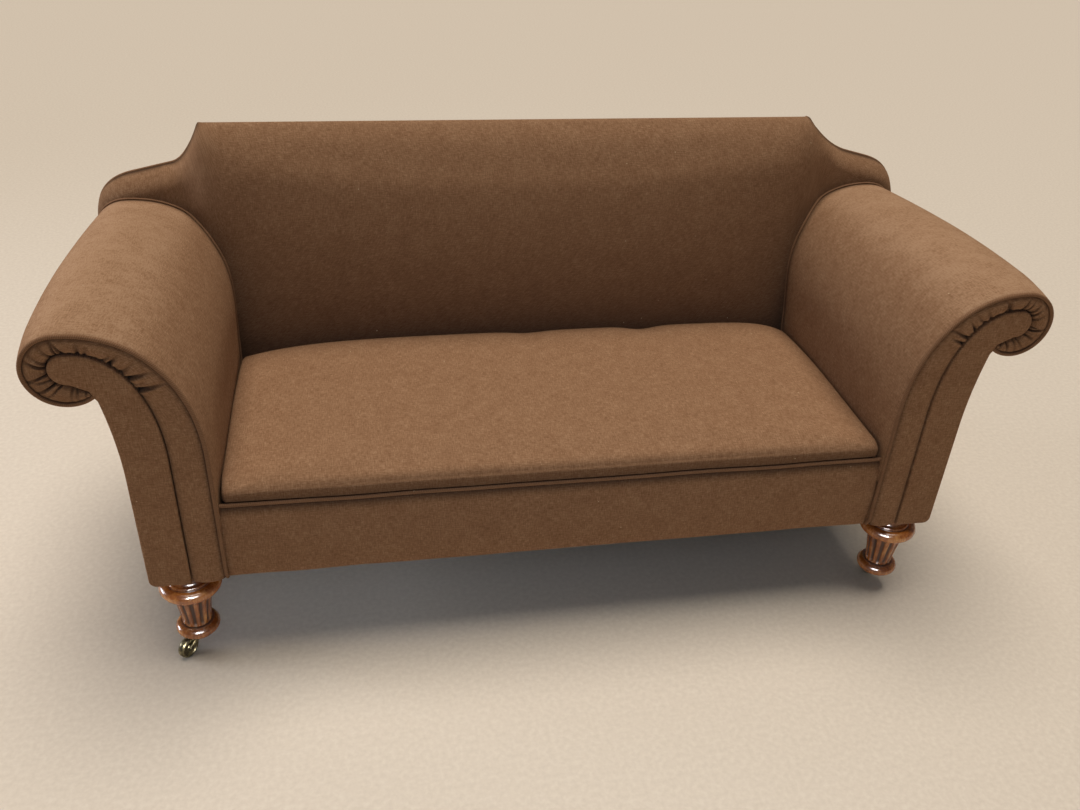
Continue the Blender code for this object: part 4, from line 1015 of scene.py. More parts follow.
@dataclass(frozen=True)
class BackShape:
    """Sizes and sections of the winged back; its two wings aren't quite alike."""

    arm: ArmShape
    left_wing: WingEdge = WingEdge((0.745, 0.7536), 0.221, 0.829, 0.900, (0.909, 0.656))
    right_wing: WingEdge = WingEdge((0.791, 0.7560), 0.254, 0.845, 0.916, (0.920, 0.661))
    seat_line: float = 0.371
    height: float = 0.838
    slope: float = 0.229
    crown: float = 0.026
    roll: float = 0.130
    wing_roll: float = 0.040
    wing_setback: float = 0.033
    wing_from: float = 0.655
    wing_to: float = 0.730
    rear_at_foot: float = 0.682
    rear_slope: float = 0.0728
    outside: float = 0.010
    level_x: float = 0.683
    tip_thinning: float = 0.6
    sweep: float = 2.0

    def wing(self, x: float) -> WingEdge:
        """Give the wing on the side of an X."""
        return self.right_wing if x > 0.0 else self.left_wing

    def face(self, z: float) -> float:
        """Give the depth of the straight front face at a height."""
        return self.arm.back_depth + self.slope * (z - self.seat_line)

    def rear(self, z: float) -> float:
        """Give the depth of the outside back at a height."""
        return self.rear_at_foot + self.rear_slope * (z - UNDERSIDE)

    def pad_rear(self, z: float) -> float:
        """Give the depth where the stuffing meets the outside back."""
        return self.rear(z) - self.outside - FIT

    def top(self, x: float) -> float:
        """Give the top edge at an X: level, a hollow step, a falling wing, a rounded end."""
        wing = self.wing(x)
        x = abs(x)
        if x <= self.level_x:
            return self.height
        if x > wing.round_from:
            return wing.end_height(x)
        share = max((wing.shoulder[0] - x) / (wing.shoulder[0] - self.level_x), 0.0)
        return wing.line(x) + (self.height - wing.line(self.level_x)) * share ** self.sweep

    def wing_foot(self, x: float) -> float:
        """Give the wing's lower edge, which follows the scroll's underside and rises to the tip."""
        axis, radius = self.arm.scroll(self.arm.back_depth)
        radius += self.arm.rear_crown * 0.6
        reach, level = radius, axis.y
        if abs(x) > axis.x:
            tip = self.wing(x).tip
            reach, level = tip[0] - axis.x, tip[1]
        across = clamp(abs(abs(x) - axis.x) / reach)
        return level - (level - axis.y + radius) * math.sqrt(1.0 - across ** 2)

    def swell(self, x: float, z: float) -> float:
        """Give how far the front face swells at a place."""
        across = max(1.0 - (x / self.arm.inside_x) ** 4, 0.0)
        share = clamp((z - self.seat_line) / (self.height - self.seat_line))
        return self.crown * across * math.sin(math.pi * share)

    def front(self, x: float, foot: float, count: int) -> list[Vector]:
        """List (depth, height) up the front face at an X and over its rolled top.

        Args:
            x: The place along the back.
            foot: The height where the line starts.
            count: How many points it has.

        Returns:
            The points, evenly spaced.
        """
        top = self.top(x)
        aside = ease((abs(x) - self.wing_from) / (self.wing_to - self.wing_from))
        roll = self.roll + (self.wing_roll - self.roll) * aside
        setback = self.wing_setback * aside
        start = top - roll
        corners = (
            Vector((self.face(start) + setback, start)),
            Vector((self.face(start + roll / 2) + setback, start + roll / 2)),
            Vector((self.pad_rear(top) - roll * 0.4, top)),
            Vector((self.pad_rear(top), top)),
        )
        line = [Vector((self.face(foot) + setback, foot))] if foot < start else []
        steps = 48
        for k in range(steps + 1):
            t = k / steps
            weights = ((1 - t) ** 3, 3 * t * (1 - t) ** 2, 3 * t * t * (1 - t), t ** 3)
            point = sum((corner * weight for corner, weight in zip(corners, weights)), Vector((0.0, 0.0)))
            if point.y > foot:
                line.append(point)
        wing = self.wing(x)
        end = max((abs(x) - wing.round_from) / (wing.tip[0] - wing.round_from), 0.0)
        thinned = self.tip_thinning * end ** 2
        points = []
        for point in even(line, count):
            depth = point.x - self.swell(x, point.y)
            points.append(Vector((depth + (self.pad_rear(point.y) - depth) * thinned, point.y)))
        return points

    def front_depth(self, x: float, z: float) -> float:
        """Give the depth of the front face at a place."""
        line = self.front(x, min(z - 0.01, self.seat_line), 90)
        for first, second in zip(line, line[1:]):
            if second.y >= z:
                share = (z - first.y) / max(second.y - first.y, 1e-9)
                return first.x + (second.x - first.x) * share
        return line[-1].x

    def edge(self, side: Side) -> list[Vector]:
        """List half of the rear edge from the crotch round the wing to the middle.

        Args:
            side: The half; the left one is given as if it were on the right.

        Returns:
            Points of X and height.
        """
        under = self.arm.round(self.arm.back_depth, 0.0, self.arm.rear_crown, 60)[:29:-1]
        wing = self.wing(side.value)
        steps = 32
        end = [wing.end(1.0 - k / steps) for k in range(steps)]
        places = spread(wing.round_from, self.level_x, steps)
        line = [Vector((x, self.top(side.value * x))) for x in places]
        return under + end + line + [Vector((0.0, self.height))]


@dataclass
class Seat:
    """The stuffed seat, its plain front border and the piping between them."""

    back: BackShape
    trim: Trim
    half_width: float = 0.6344
    setback: float = 0.016
    piping_line: float = 0.363
    rim: float = 0.391
    crown: float = 0.019
    rear_crown: float = 0.033
    roll: float = 0.024
    band_share: float = 0.54
    undercut: float = 0.0022
    base: float = 0.3119
    rail_front: float = 0.0303
    border_thickness: float = 0.014
    border_tuck: float = 0.0032
    border_belly: float = 0.0075
    border_round: float = 0.003
    sway: float = 0.0030
    dome_share: float = 0.35
    nose_lead: float = 0.003
    nose_draw: float = 0.004
    top_lift: float = 0.004
    fall_from: float = 0.42
    crack_from: float = 0.93
    crack: float = 0.010
    rear_gap: float = 0.0015
    rear_powers: tuple[int, int] = (5, 12)
    dips: tuple[tuple[float, float, float], ...] = ((0.005, 0.045, 0.005), (0.275, 0.038, 0.0085))
    steps: Steps = (5, 8, 30)
    lip_shade: tuple[float, float] = (0.52, 0.053)
    rear_shade: tuple[float, float] = (0.38, 1.8)

    def seam_height(self, x: float) -> float:
        """Give the height of the piping, which isn't quite straight, at an X."""
        return self.piping_line + self.sway * noise.noise(Vector((x * 6.0, 2.0, 0.0)))

    def section(self, x: float) -> list[Vector]:
        """List the seat's closed section at an X.

        Args:
            x: The place along the seat.

        Returns:
            Points, from the lip over the top and round below.
        """
        across = min(abs(x) / self.half_width, 0.9999)
        crown = self.crown_share(across)
        lip = self.seam_height(x) + PIPING_RADIUS + FIT
        top = self.rim + self.crown * crown
        left, right = self.rear_powers
        rear_top = self.back.seat_line + self.rear_crown * (1.0 - across ** (right if x > 0.0 else left))
        for place, width, depth in self.dips:
            rear_top -= depth * math.exp(-((x - place) / width) ** 2)
        nose = self.setback - self.nose_lead + self.nose_draw * (1.0 - crown)
        band = (top - lip) * self.band_share
        low, bend, flat = self.steps
        line = [Vector((nose + self.undercut * (1.0 - k / low), lip + band * k / low)) for k in range(low)]
        for k in range(bend):
            angle = math.pi / 2 * k / (bend - 1)
            height = lip + band + (top - lip - band) * math.sin(angle)
            line.append(Vector((nose + self.roll * (1.0 - math.cos(angle)), height)))
        start = line[-1].x
        rear = self.back.face(rear_top) - self.rear_gap
        for k in range(1, flat + 1):
            share = k / flat
            lift = self.top_lift * crown * math.sin(math.pi * min(share / 0.84, 1.0))
            fall = (top - rear_top) * over(share, self.fall_from) ** 2.2
            crack = self.crack * over(share, self.crack_from) ** 2
            line.append(Vector((start + (rear - start) * share, top + lift - fall - crack)))
        edge = line[-1]
        heel = Vector((self.back.face(self.base) - self.rear_gap, self.base))
        toe = Vector((self.rail_front + FIT, self.base))
        line += [edge.lerp(heel, k / 4) for k in range(1, 5)]
        line += [heel.lerp(toe, k / 8) for k in range(1, 9)]
        line += [toe.lerp(Vector((toe.x, lip)), k / 3) for k in range(1, 4)]
        return [world(x, point.x, point.y) for point in line]

    def crown_share(self, across: float) -> float:
        """Give the share of the crown at a share of the half width: part dome, part square-shouldered."""
        dome = (1.0 - across ** 3) ** 0.6
        square = (1.0 - across ** 9) ** 0.5
        return self.dome_share * dome + (1.0 - self.dome_share) * square

    def build_pad(self) -> None:
        """Make the stuffed seat, shaded at its lip and in the crack at the back."""
        count = 74
        shares = [2 * k / count - 1 for k in range(count + 1)]
        places = [(0.35 * math.sin(math.pi / 2 * a) + 0.65 * a) * self.half_width for a in shares]
        rows = [self.section(x) for x in places]
        mesh = skin("seat_pad", rows)
        ring = len(rows[0])
        last = len(rows) - 1
        rear = sum(self.steps) - 1
        shade = []
        for j in range(ring):
            front = self.lip_shade[0] - self.lip_shade[1] * j
            behind = self.rear_shade[0] * math.exp((j - rear) / self.rear_shade[1])
            shade.append(clamp(max(front, behind), 0.0, self.lip_shade[0]))
        mark(mesh, shade * len(rows))

        def held(number: int) -> bool:
            """Hold the ends, the lip and what lies below."""
            row, column = divmod(number, ring)
            return row in (0, last) or not self.steps[0] < column < rear - 1

        Stuffing().plump(mesh, held)
        add_cover("seat_cushion", mesh, "seat_pad")

    def build_border(self) -> None:
        """Make the padded front border with its soft hem."""
        rows = []
        count = 110
        half = self.half_width + self.border_tuck
        places = [(2 * k / count - 1) * half for k in range(count + 1)]
        places[1:1], places[-1:-1] = [0.0008 - half], [half - 0.0008]
        for x in places:
            top = self.seam_height(x) - PIPING_RADIUS + 0.001
            sway = 0.0016 * noise.noise(Vector((x * 5.0, 0.3, 0.0)))
            hem = UNDERSIDE + 0.0018 * noise.noise(Vector((x * 9.0, 7.1, 0.0)))
            line = []
            for step in range(15):
                share = step / 14
                wave = math.sin(math.pi * share)
                belly = self.border_belly * max(wave, 0.0) ** 0.8
                depth = self.setback + self.border_round * over(share, 0.9) - belly + sway * wave
                line.append(Vector((depth, hem + (top - hem) * share)))
            rear = self.setback + self.border_thickness
            line += [Vector((rear, top)), Vector((rear, (top + hem) / 2)), Vector((rear, hem + 0.001))]
            line += [Vector((rear - 0.005, hem - 0.0012)), Vector((self.setback + 0.003, hem - 0.0012))]
            rows.append([world(x, point.x, point.y) for point in line])
        mesh = skin("front_border", rows)
        # Painted shade along the top of the border, under the piping.
        mark(mesh, ([0.0] * 13 + [0.25, 0.75] + [0.0] * 5) * len(rows))
        add_cover("front_border_cover", mesh, "seat_front_border")

    def build_piping(self) -> None:
        """Run piping between seat and border, not quite straight."""
        points = []
        count = 90
        for k in range(count + 1):
            x = (2 * k / count - 1) * self.half_width
            points.append(world(x, self.setback + PIPING_RADIUS - 0.004, self.seam_height(x)))
        self.trim.pipe("seat_piping_cord", points, "seat_piping")


@dataclass
class Arm:
    """One scroll arm: its stuffing, gathered border, facing panel, piping and outside panel."""

    side: Side
    shape: ArmShape
    back: BackShape
    trim: Trim
    seed: int
    foot: float = 0.3119
    padding: float = 0.036
    lip: float = 0.0058
    tuck_from: float = 0.955
    tuck: float = 0.003
    welt_inset: float = 0.0040
    border_side: float = 0.066
    border_top: float = 0.036
    border_end: float = 0.014
    border_puff: float = 0.0075
    edge_round: float = 0.0050
    groove: tuple[float, float] = (0.0060, 0.0090)
    head_radius: float = 0.0285
    head_share: float = 0.76
    corner_radius: float = 0.014
    facing_rear: float = 0.0218
    panel_front: float = 0.0006
    panel_edge: float = 0.0038
    outside_depth: float = 0.0135
    outside_belly: float = 0.0030
    outside_lip: tuple[float, float] = (0.004, 0.005)
    gather_from: float = 0.42
    folds: int = 19
    fold_depths: tuple[float, ...] = (0.0034, 0.0050, 0.0066, 0.0078)
    fold_widths: tuple[float, float] = (0.006, 0.010)
    fold_slant: float = 0.034
    darkest_fold: float = 0.0070
    seam: float = 0.0012

    def at(self, point: Vector, depth: float) -> Vector:
        """Put a point of the right-hand section on this arm's side."""
        return world(self.side.value * point.x, depth, point.y)

    def build_pad(self) -> None:
        """Make the stuffed inside arm and roll, tucked under the piping and into the back."""
        shape = self.shape
        start = PIPING_RADIUS
        count, lines = 58, 38
        steps = (6, 40, 60)
        rear = even(shape.path(shape.back_depth, 0.0, self.foot, shape.rear_crown, steps), count)
        ends = [self.back.front_depth(self.side.value * point.x, point.y) + 0.003 for point in rear]
        shares = [self.tuck_from * (k / lines) ** 1.25 for k in range(lines + 1)]
        shares += [0.968, 0.979, 0.988, 0.994, 1.0]
        rows, dark, worn_and_lit = [], [], []
        for share in shares:
            depth = start + (shape.back_depth - start) * share
            swell = shape.swell(depth, start) * 0.93
            thick = self.lip if depth < shape.board_front else self.padding
            tuck = over(share, self.tuck_from)
            outer = even(shape.path(depth, self.tuck * tuck ** 2.4, self.foot, swell, steps), count)
            inner = even(shape.path(depth, thick, self.foot, 0.0, steps), count)
            depths = [start + (end - start) * share for end in ends]
            row = [self.at(point, run) for point, run in zip(outer, depths)]
            rows.append(row + [self.at(point, run) for point, run in zip(inner[::-1], depths[::-1])])
            # Painted shade where the arm tucks into the back.
            dark += [0.95 * tuck ** 1.3] * (2 * count)
            # The up-facing tops are lightened, partly as wear, partly as painted light.
            for j in range(2 * count):
                way = row[min(j + 1, count - 1)] - row[min(max(j - 1, 0), count - 2)]
                flat = abs(way.x) / max(way.length, 1e-9)
                worn_and_lit.append(ease((flat - 0.55) / 0.4) * (1.0 - tuck) * float(j < 0.75 * count))
        mesh = skin(f"arm_{self.side.word}", rows, Ends.BRIDGED)
        mark(mesh, dark)
        mark(mesh, worn_and_lit, "worn_and_lit")

        def held(number: int) -> bool:
            """Hold the edges and the inner face."""
            row, column = divmod(number, 2 * count)
            return row == 0 or row > lines or not 4 < column < count - 1

        Stuffing().plump(mesh, held)
        add_cover(f"arm_cushion_{self.side.word}", mesh, f"arm_pad_{self.side.word}")
        line = [self.at(point, end - self.welt_inset) for point, end in zip(rear, ends)][3:46]
        self.trim.pipe(f"arm_welt_{self.side.word}", line, radius=WELT_RADIUS)

    def seam_line(self, steps: Steps) -> list[Vector]:
        """List the seam between border and facing panel, step for step with the arm's path.

        Args:
            steps: Steps up the straight, up the curve and round the scroll.

        Returns:
            Points of X and height.
        """
        shape = self.shape
        axis, radius = shape.scroll(shape.board_front)
        crest = axis.y + radius - self.border_top
        centre = Vector((axis.x - self.border_top / 8, crest - self.head_radius))
        start = shape.inside_x + self.border_side
        points = shape.climb(start, UNDERSIDE, centre.x, crest - shape.spring_line, steps)
        end = shape.crotch(shape.board_front, self.border_end)
        under = centre - Vector((0.0, self.head_radius))
        for k in range(steps[2] + 1):
            share = k / steps[2]
            if share <= self.head_share:
                angle = math.radians(90.0 - 180.0 * share / self.head_share)
                points.append(centre + self.head_radius * heading(angle))
            else:
                points.append(under.lerp(end, over(share, self.head_share)))
        return points

    def gathers(self) -> Callable[[float, float], tuple[float, float]]:
        """Lay out this arm's gathers.

        Returns:
            A function of the share along the gathers and the share across the border, 1 at the
            seam, which gives how far the cloth sinks and how dark the painted shade in its crease is.
        """
        draw = random.Random(self.seed)
        folds = []
        for k in range(self.folds):
            place = (k + 0.5 + draw.uniform(-0.32, 0.32)) / self.folds
            depth = draw.choice(self.fold_depths)
            reach = draw.uniform(-0.45, 0.15) if place > 0.42 else draw.uniform(-0.45, 0.20)
            width = draw.uniform(*self.fold_widths)
            slant = draw.uniform(-self.fold_slant, self.fold_slant)
            folds.append((place, depth, reach, width, slant))

        def sink(share: float, across: float) -> tuple[float, float]:
            """Add up the folds at a place and find its darkest painted shade."""
            total, dark = 0.0, 0.0
            for place, depth, reach, width, slant in folds:
                off = (share - place - slant * (1.0 - across)) / width
                if abs(off) > 3.0:
                    continue
                fade = ease((across - reach) / (1.0 - reach))
                crease = math.exp(-off * off) * fade
                puff = math.exp(-((abs(off) - 1.8) / 0.9) ** 2) * fade
                total += depth * crease - depth * 0.30 * puff
                dark = max(dark, crease * depth / self.darkest_fold)
            return total, dark

        return sink

    def build_border(self) -> None:
        """Make the gathered border between piping and facing panel."""
        shape = self.shape
        steps = (22, 190, 170)
        inward = 2 * PIPING_RADIUS - 0.0006
        outer = shape.path(shape.board_front, inward, UNDERSIDE, 0.0, steps)
        inner = self.seam_line(steps)
        begin = steps[0] + int(steps[1] * self.gather_from)
        stations = (0.0, 0.04, 0.12, 0.24, 0.37, 0.5, 0.62, 0.73, 0.83, 0.91, 0.97, 1.0)
        sink = self.gathers()
        rows, dark = [], []
        for k, (edge, seam) in enumerate(zip(outer, inner)):
            share = (k - begin) / (len(outer) - 1 - begin)
            groove = self.groove[0] + (self.groove[1] - self.groove[0]) * ease(6.0 * share)
            row = []
            for across in stations:
                fold, crease = sink(share, across) if share > 0.0 else (0.0, 0.0)
                puff = self.border_puff * across * (1.0 - across)
                level = groove * across ** 5 + self.edge_round * (1.0 - across) ** 4 - puff
                row.append(self.at(edge.lerp(seam, across), level + fold))
                # Painted shade in the gathers' creases, along the seam with the panel and beside the piping.
                dark.append(clamp(0.95 * crease + 0.75 * across ** 16 + 0.85 * (1.0 - across) ** 20))
            bare = clamp((self.foot - 0.002 - edge.y) / 0.010) if k < steps[0] else 0.0
            side = -self.lip * bare / (seam - edge).length
            rear = [(across, self.facing_rear) for across in (1.0, 0.5, side)] + [(side, 0.0085)]
            row += [self.at(edge.lerp(seam, across), depth) for across, depth in rear]
            dark += [0.0] * len(rear)
            rows.append(row)
        mesh = skin(f"border_{self.side.word}", rows)
        mark(mesh, dark)
        add_cover(f"gathered_border_{self.side.word}", mesh, f"arm_facing_border_{self.side.word}")

    def build_panel(self) -> None:
        """Make the smooth facing panel with rounded edges."""
        shape = self.shape
        seam = self.seam_line((2, 60, 70))
        outline = inset(seam[:1] + seam[2:], -self.seam)
        outline.append(shape.crotch(shape.board_front) + Vector((0.002, -0.002)))
        outline += shape.outside_edge(shape.board_front, UNDERSIDE + self.corner_radius, 40)
        corner = Vector((shape.base_x - self.corner_radius, UNDERSIDE + self.corner_radius))
        for k in range(1, 9):
            angle = -math.pi / 2 * k / 8
            outline.append(corner + self.corner_radius * heading(angle))
        name = f"facing_panel_{self.side.word}"
        outline = [Vector((self.side.value * point.x, point.y)) for point in outline]
        mesh = plate_mesh(name, outline, (self.panel_front, self.facing_rear), self.panel_edge)
        add_cover(name, mesh, f"arm_facing_panel_{self.side.word}", 0)

    def build_piping(self) -> None:
        """Run piping round the arm front."""
        shape = self.shape
        line = even(shape.path(shape.board_front, PIPING_RADIUS, UNDERSIDE + 0.0025, 0.0, (8, 60, 90)), 260)
        tucks = [0.009 * ease((UNDERSIDE + 0.020 - point.y) / 0.0175) for point in line]
        points = [self.at(point, PIPING_RADIUS - 0.0004 + tuck) for point, tuck in zip(line, tucks)]
        self.trim.pipe(f"arm_piping_cord_{self.side.word}", points, f"arm_piping_{self.side.word}")

    def build_outside(self) -> None:
        """Make the outside arm panel, stretched a little full."""
        shape = self.shape
        lines, steps = 26, 26
        rows = []
        for along in [0.0, 0.002] + [k / lines for k in range(1, lines + 1)]:
            reach = self.back.pad_rear(shape.flare_line) - shape.board_front
            section = min(shape.board_front + reach * along, shape.back_depth)
            outer, inner = [], []
            lip = shape.crotch(section) + Vector(self.outside_lip)
            edge = shape.outside_edge(section, UNDERSIDE, steps)
            for point in [lip, lip.lerp(edge[0], 0.15)] + edge:
                down = max(len(outer) - 2, 0) / steps
                end = self.back.pad_rear(point.y)
                depth = shape.board_front + (end - shape.board_front) * along
                full = max(math.sin(math.pi * along) * math.sin(math.pi * down), 0.0)
                belly = self.outside_belly * full ** 0.6
                outer.append(self.at(point + Vector((belly, 0.0)), depth))
                inner.append(self.at(point - Vector((self.outside_depth, 0.0)), depth))
            rows.append(outer + inner[::-1])
        mesh = skin(f"outside_{self.side.word}", rows, Ends.BRIDGED)
        add_cover(f"outside_arm_{self.side.word}", mesh, f"arm_outside_panel_{self.side.word}")


def plate_mesh(name: str, outline: Sequence[Vector], depths: tuple[float, float], bevel: float) -> Mesh:
    """Make a flat panel with rounded edges from an outline.

    Args:
        name: The mesh's name.
        outline: Points of X and height.
        depths: Its front and rear.
        bevel: The radius of its edges.

    Returns:
        The mesh.
    """
    curve = bpy.data.curves.new(name, "CURVE")
    curve.dimensions = "2D"
    curve.fill_mode = "BOTH"
    curve.extrude = (depths[1] - depths[0]) / 2 - bevel
    curve.bevel_depth = bevel
    curve.bevel_resolution = 3
    curve.offset = -bevel
    spline = curve.splines.new("POLY")
    spline.points.add(len(outline) - 1)
    for knot, point in zip(spline.points, outline):
        knot.co = (point.x, point.y, 0.0, 1.0)
    spline.use_cyclic_u = True
    plate = put(name, curve)
    mesh = made_mesh(plate)
    bpy.data.objects.remove(plate, do_unlink=True)
    middle = FRONT_Y + (depths[0] + depths[1]) / 2
    mesh.transform(Matrix(((1, 0, 0, 0), (0, 0, -1, middle), (0, 1, 0, 0), (0, 0, 0, 1))))
    bm = bmesh.new()
    bm.from_mesh(mesh)
    bmesh.ops.remove_doubles(bm, verts=bm.verts, dist=0.00005)
    bmesh.ops.recalc_face_normals(bm, faces=bm.faces)
    mesh = mesh_from(name, bm, 50.0)
    lay_flat(mesh)
    return mesh


@dataclass
class Back:
    """The stuffed back with its wings, the outside back and the piping along its edge."""

    shape: BackShape
    trim: Trim
    foot: float = 0.3119
    ledge: float = 0.7426
    frame: float = 0.0526
    post_x: float = 0.7106
    side_x: float = 0.7617
    seat_gloom: tuple[float, float] = (0.60, 0.070)
    arm_gloom: tuple[float, float] = (0.50, 0.045)
    gloom_rise: float = 0.024
    slim_from: float = 0.62
    slim_over: float = 0.10
    slim_by: float = 0.6
    face_points: int = 42
    seam_shade: tuple[float, ...] = (0.12, 0.4, 0.75, 0.95, 0.95)

    def stations(self, side: Side) -> list[float]:
        """List a side's distances from the middle, close together on the step and at the wing's end."""
        shape = self.shape
        wing = shape.wing(side.value)
        places = [shape.level_x * (1.0 - (1.0 - k / 36) ** 1.25) for k in range(37)]
        places += [self.post_x, self.post_x + 0.0004, self.side_x, self.side_x + 0.0004]
        places += [shape.level_x + 0.0035 * k for k in range(1, 30)]
        places += [shape.level_x + 0.105 + 0.007 * k for k in range(12)]
        reach = wing.tip[0] - wing.round_from
        places += [wing.round_from + reach * math.sin(math.pi / 2 * k / 17) for k in range(17)]
        places.append(wing.tip[0] - 0.00006)
        places.sort()
        spaced = [places[0]]
        for place in places[1:]:
            if place - spaced[-1] > 0.0003:
                spaced.append(place)
        return spaced

    def ring(self, x: float) -> list[Vector]:
        """List the back's closed section at an X: up the front, over the top and down behind."""
        shape = self.shape
        foot = shape.wing_foot(x)
        if abs(x) < self.side_x + 0.0002:
            climb = (abs(x) - shape.arm.inside_x) / (self.side_x - shape.arm.inside_x)
            foot = self.foot + (shape.wing_foot(self.side_x) - self.foot) * ease(climb)
        line = shape.front(x, foot, self.face_points)
        top = line[-1].y
        if abs(x) < self.post_x + 0.0002:
            middle = (top + self.ledge) / 2
            line += [Vector((shape.pad_rear(z), z)) for z in (top - 0.002, middle, self.ledge)]
            line += [Vector((shape.rear(z) - self.frame, z)) for z in spread(self.ledge, foot, 3)]
        else:
            heights = [top - 0.002] + spread(top, foot, 6)[1:]
            line += [Vector((shape.pad_rear(z), z)) for z in heights]
        return [world(x, point.x, point.y) for point in line]

    def gloom(self, point: Vector, arm: list[Vector]) -> float:
        """Give how much painted shade darkens the face at a point, down towards the seat and beside an arm.

        Args:
            point: The point.
            arm: The arm's line (X, height) along the back.

        Returns:
            The darkness, from 0 to 1.
        """
        place = Vector((abs(point.x), point.z))
        beside = min((place - spot).length for spot in arm)
        reach = self.arm_gloom[1] * (1.0 - self.slim_by * ease((place.x - self.slim_from) / self.slim_over))
        near = self.arm_gloom[0] * math.exp(-beside / reach)
        above = max(place.y - self.shape.seat_line - self.gloom_rise, 0.0)
        low = self.seat_gloom[0] * math.exp(-above / self.seat_gloom[1])
        return 1.0 - (1.0 - near) * (1.0 - low)

    def build_pad(self) -> None:
        """Make the stuffed back."""
        places = [-x for x in self.stations(Side.LEFT)[:0:-1]] + self.stations(Side.RIGHT)
        rows = [self.ring(x) for x in places]
        mesh = skin("back", rows)
        ring = len(rows[0])
        shape = self.shape
        bound = shape.level_x - 0.01
        arm = shape.arm.path(shape.arm.back_depth, 0.0, shape.seat_line, shape.arm.rear_crown, (6, 20, 20))
        face = self.face_points + 1
        # Painted shade down towards the seat, beside the arms and, on the wings, along the top edge by the
        # piping.
        dark = []
        for x, row in zip(places, rows):
            shade = [self.gloom(point, arm) for point in row[:face]] + [0.0] * (ring - face)
            if abs(x) > bound + 0.008:
                for j, seam in enumerate(self.seam_shade, face - len(self.seam_shade)):
                    shade[j] = max(shade[j], seam)
            dark += shade
        mark(mesh, dark)

        def held(number: int) -> bool:
            """Hold the wings, the foot, the top edge and the rear."""
            row, column = divmod(number, ring)
            return abs(places[row]) > bound or not 3 < column < self.face_points - 2

        Stuffing().plump(mesh, held)
        add_cover("back_cushion", mesh, "back_pad")

    def spans(self, side: Side) -> list[tuple[float, float, float]]:
        """List X, lower and upper height of half the outside back, from the middle out."""
        shape = self.shape
        edge = inset(shape.edge(side), 2 * PIPING_RADIUS + FIT)
        hem = shape.arm.outside_edge(shape.arm.back_depth, UNDERSIDE, 30)[::-1]
        outline = hem + edge
        tip = max(point.x for point in outline) - 0.0002
        half = [tip * (1.0 - (1.0 - k / 70) ** 1.6) for k in range(71)]
        half += [shape.arm.base_x - 0.0012, shape.arm.base_x - 0.0002]
        spans = []
        for x in sorted(half):
            heights = [UNDERSIDE] if x < shape.arm.base_x else []
            for first, second in zip(outline, outline[1:]):
                if (first.x - x) * (second.x - x) <= 0.0 and first.x != second.x:
                    heights.append(first.y + (second.y - first.y) * (x - first.x) / (second.x - first.x))
            spans.append((side.value * x, min(heights), max(heights)))
        return spans

    def build_outside(self) -> None:
        """Make the outside back, stretched a little full."""
        shape = self.shape
        rows = []
        steps = 26
        for x, low, high in self.spans(Side.LEFT)[:0:-1] + self.spans(Side.RIGHT):
            rear, front = [], []
            for k, z in enumerate(spread(low, high, steps)):
                belly = 0.0035 * max(1.0 - (x / 0.92) ** 2, 0.0)
                belly *= max(math.sin(math.pi * k / steps), 0.0) ** 0.7
                edge = 0.002 * (abs(2 * k / steps - 1.0) ** 12)
                rear.append(world(x, shape.rear(z) + belly - edge, z))
                front.append(world(x, shape.rear(z) - shape.outside + 0.0005, z))
            rows.append(rear + front[::-1])
        mesh = skin("outside_back", rows, Ends.BRIDGED)
        lay_flat(mesh)
        add_cover("outside_back_cover", mesh, "outside_back")

    def build_piping(self) -> None:
        """Run piping along the rear edge, from crotch to crotch."""
        shape = self.shape
        line, left = (inset(shape.edge(side), PIPING_RADIUS)[1:] for side in (Side.RIGHT, Side.LEFT))
        line += [Vector((-point.x, point.y)) for point in left[-2::-1]]
        points = []
        for point in even(line, 620):
            inside = shape.level_x - abs(point.x)
            lift = 0.0022 * ease(-inside / 0.03) - 0.0040 * ease(inside / 0.010)
            points.append(world(point.x, shape.rear(point.y) - shape.outside / 2, point.y + lift))
        self.trim.pipe("back_piping_cord", points, "back_piping")


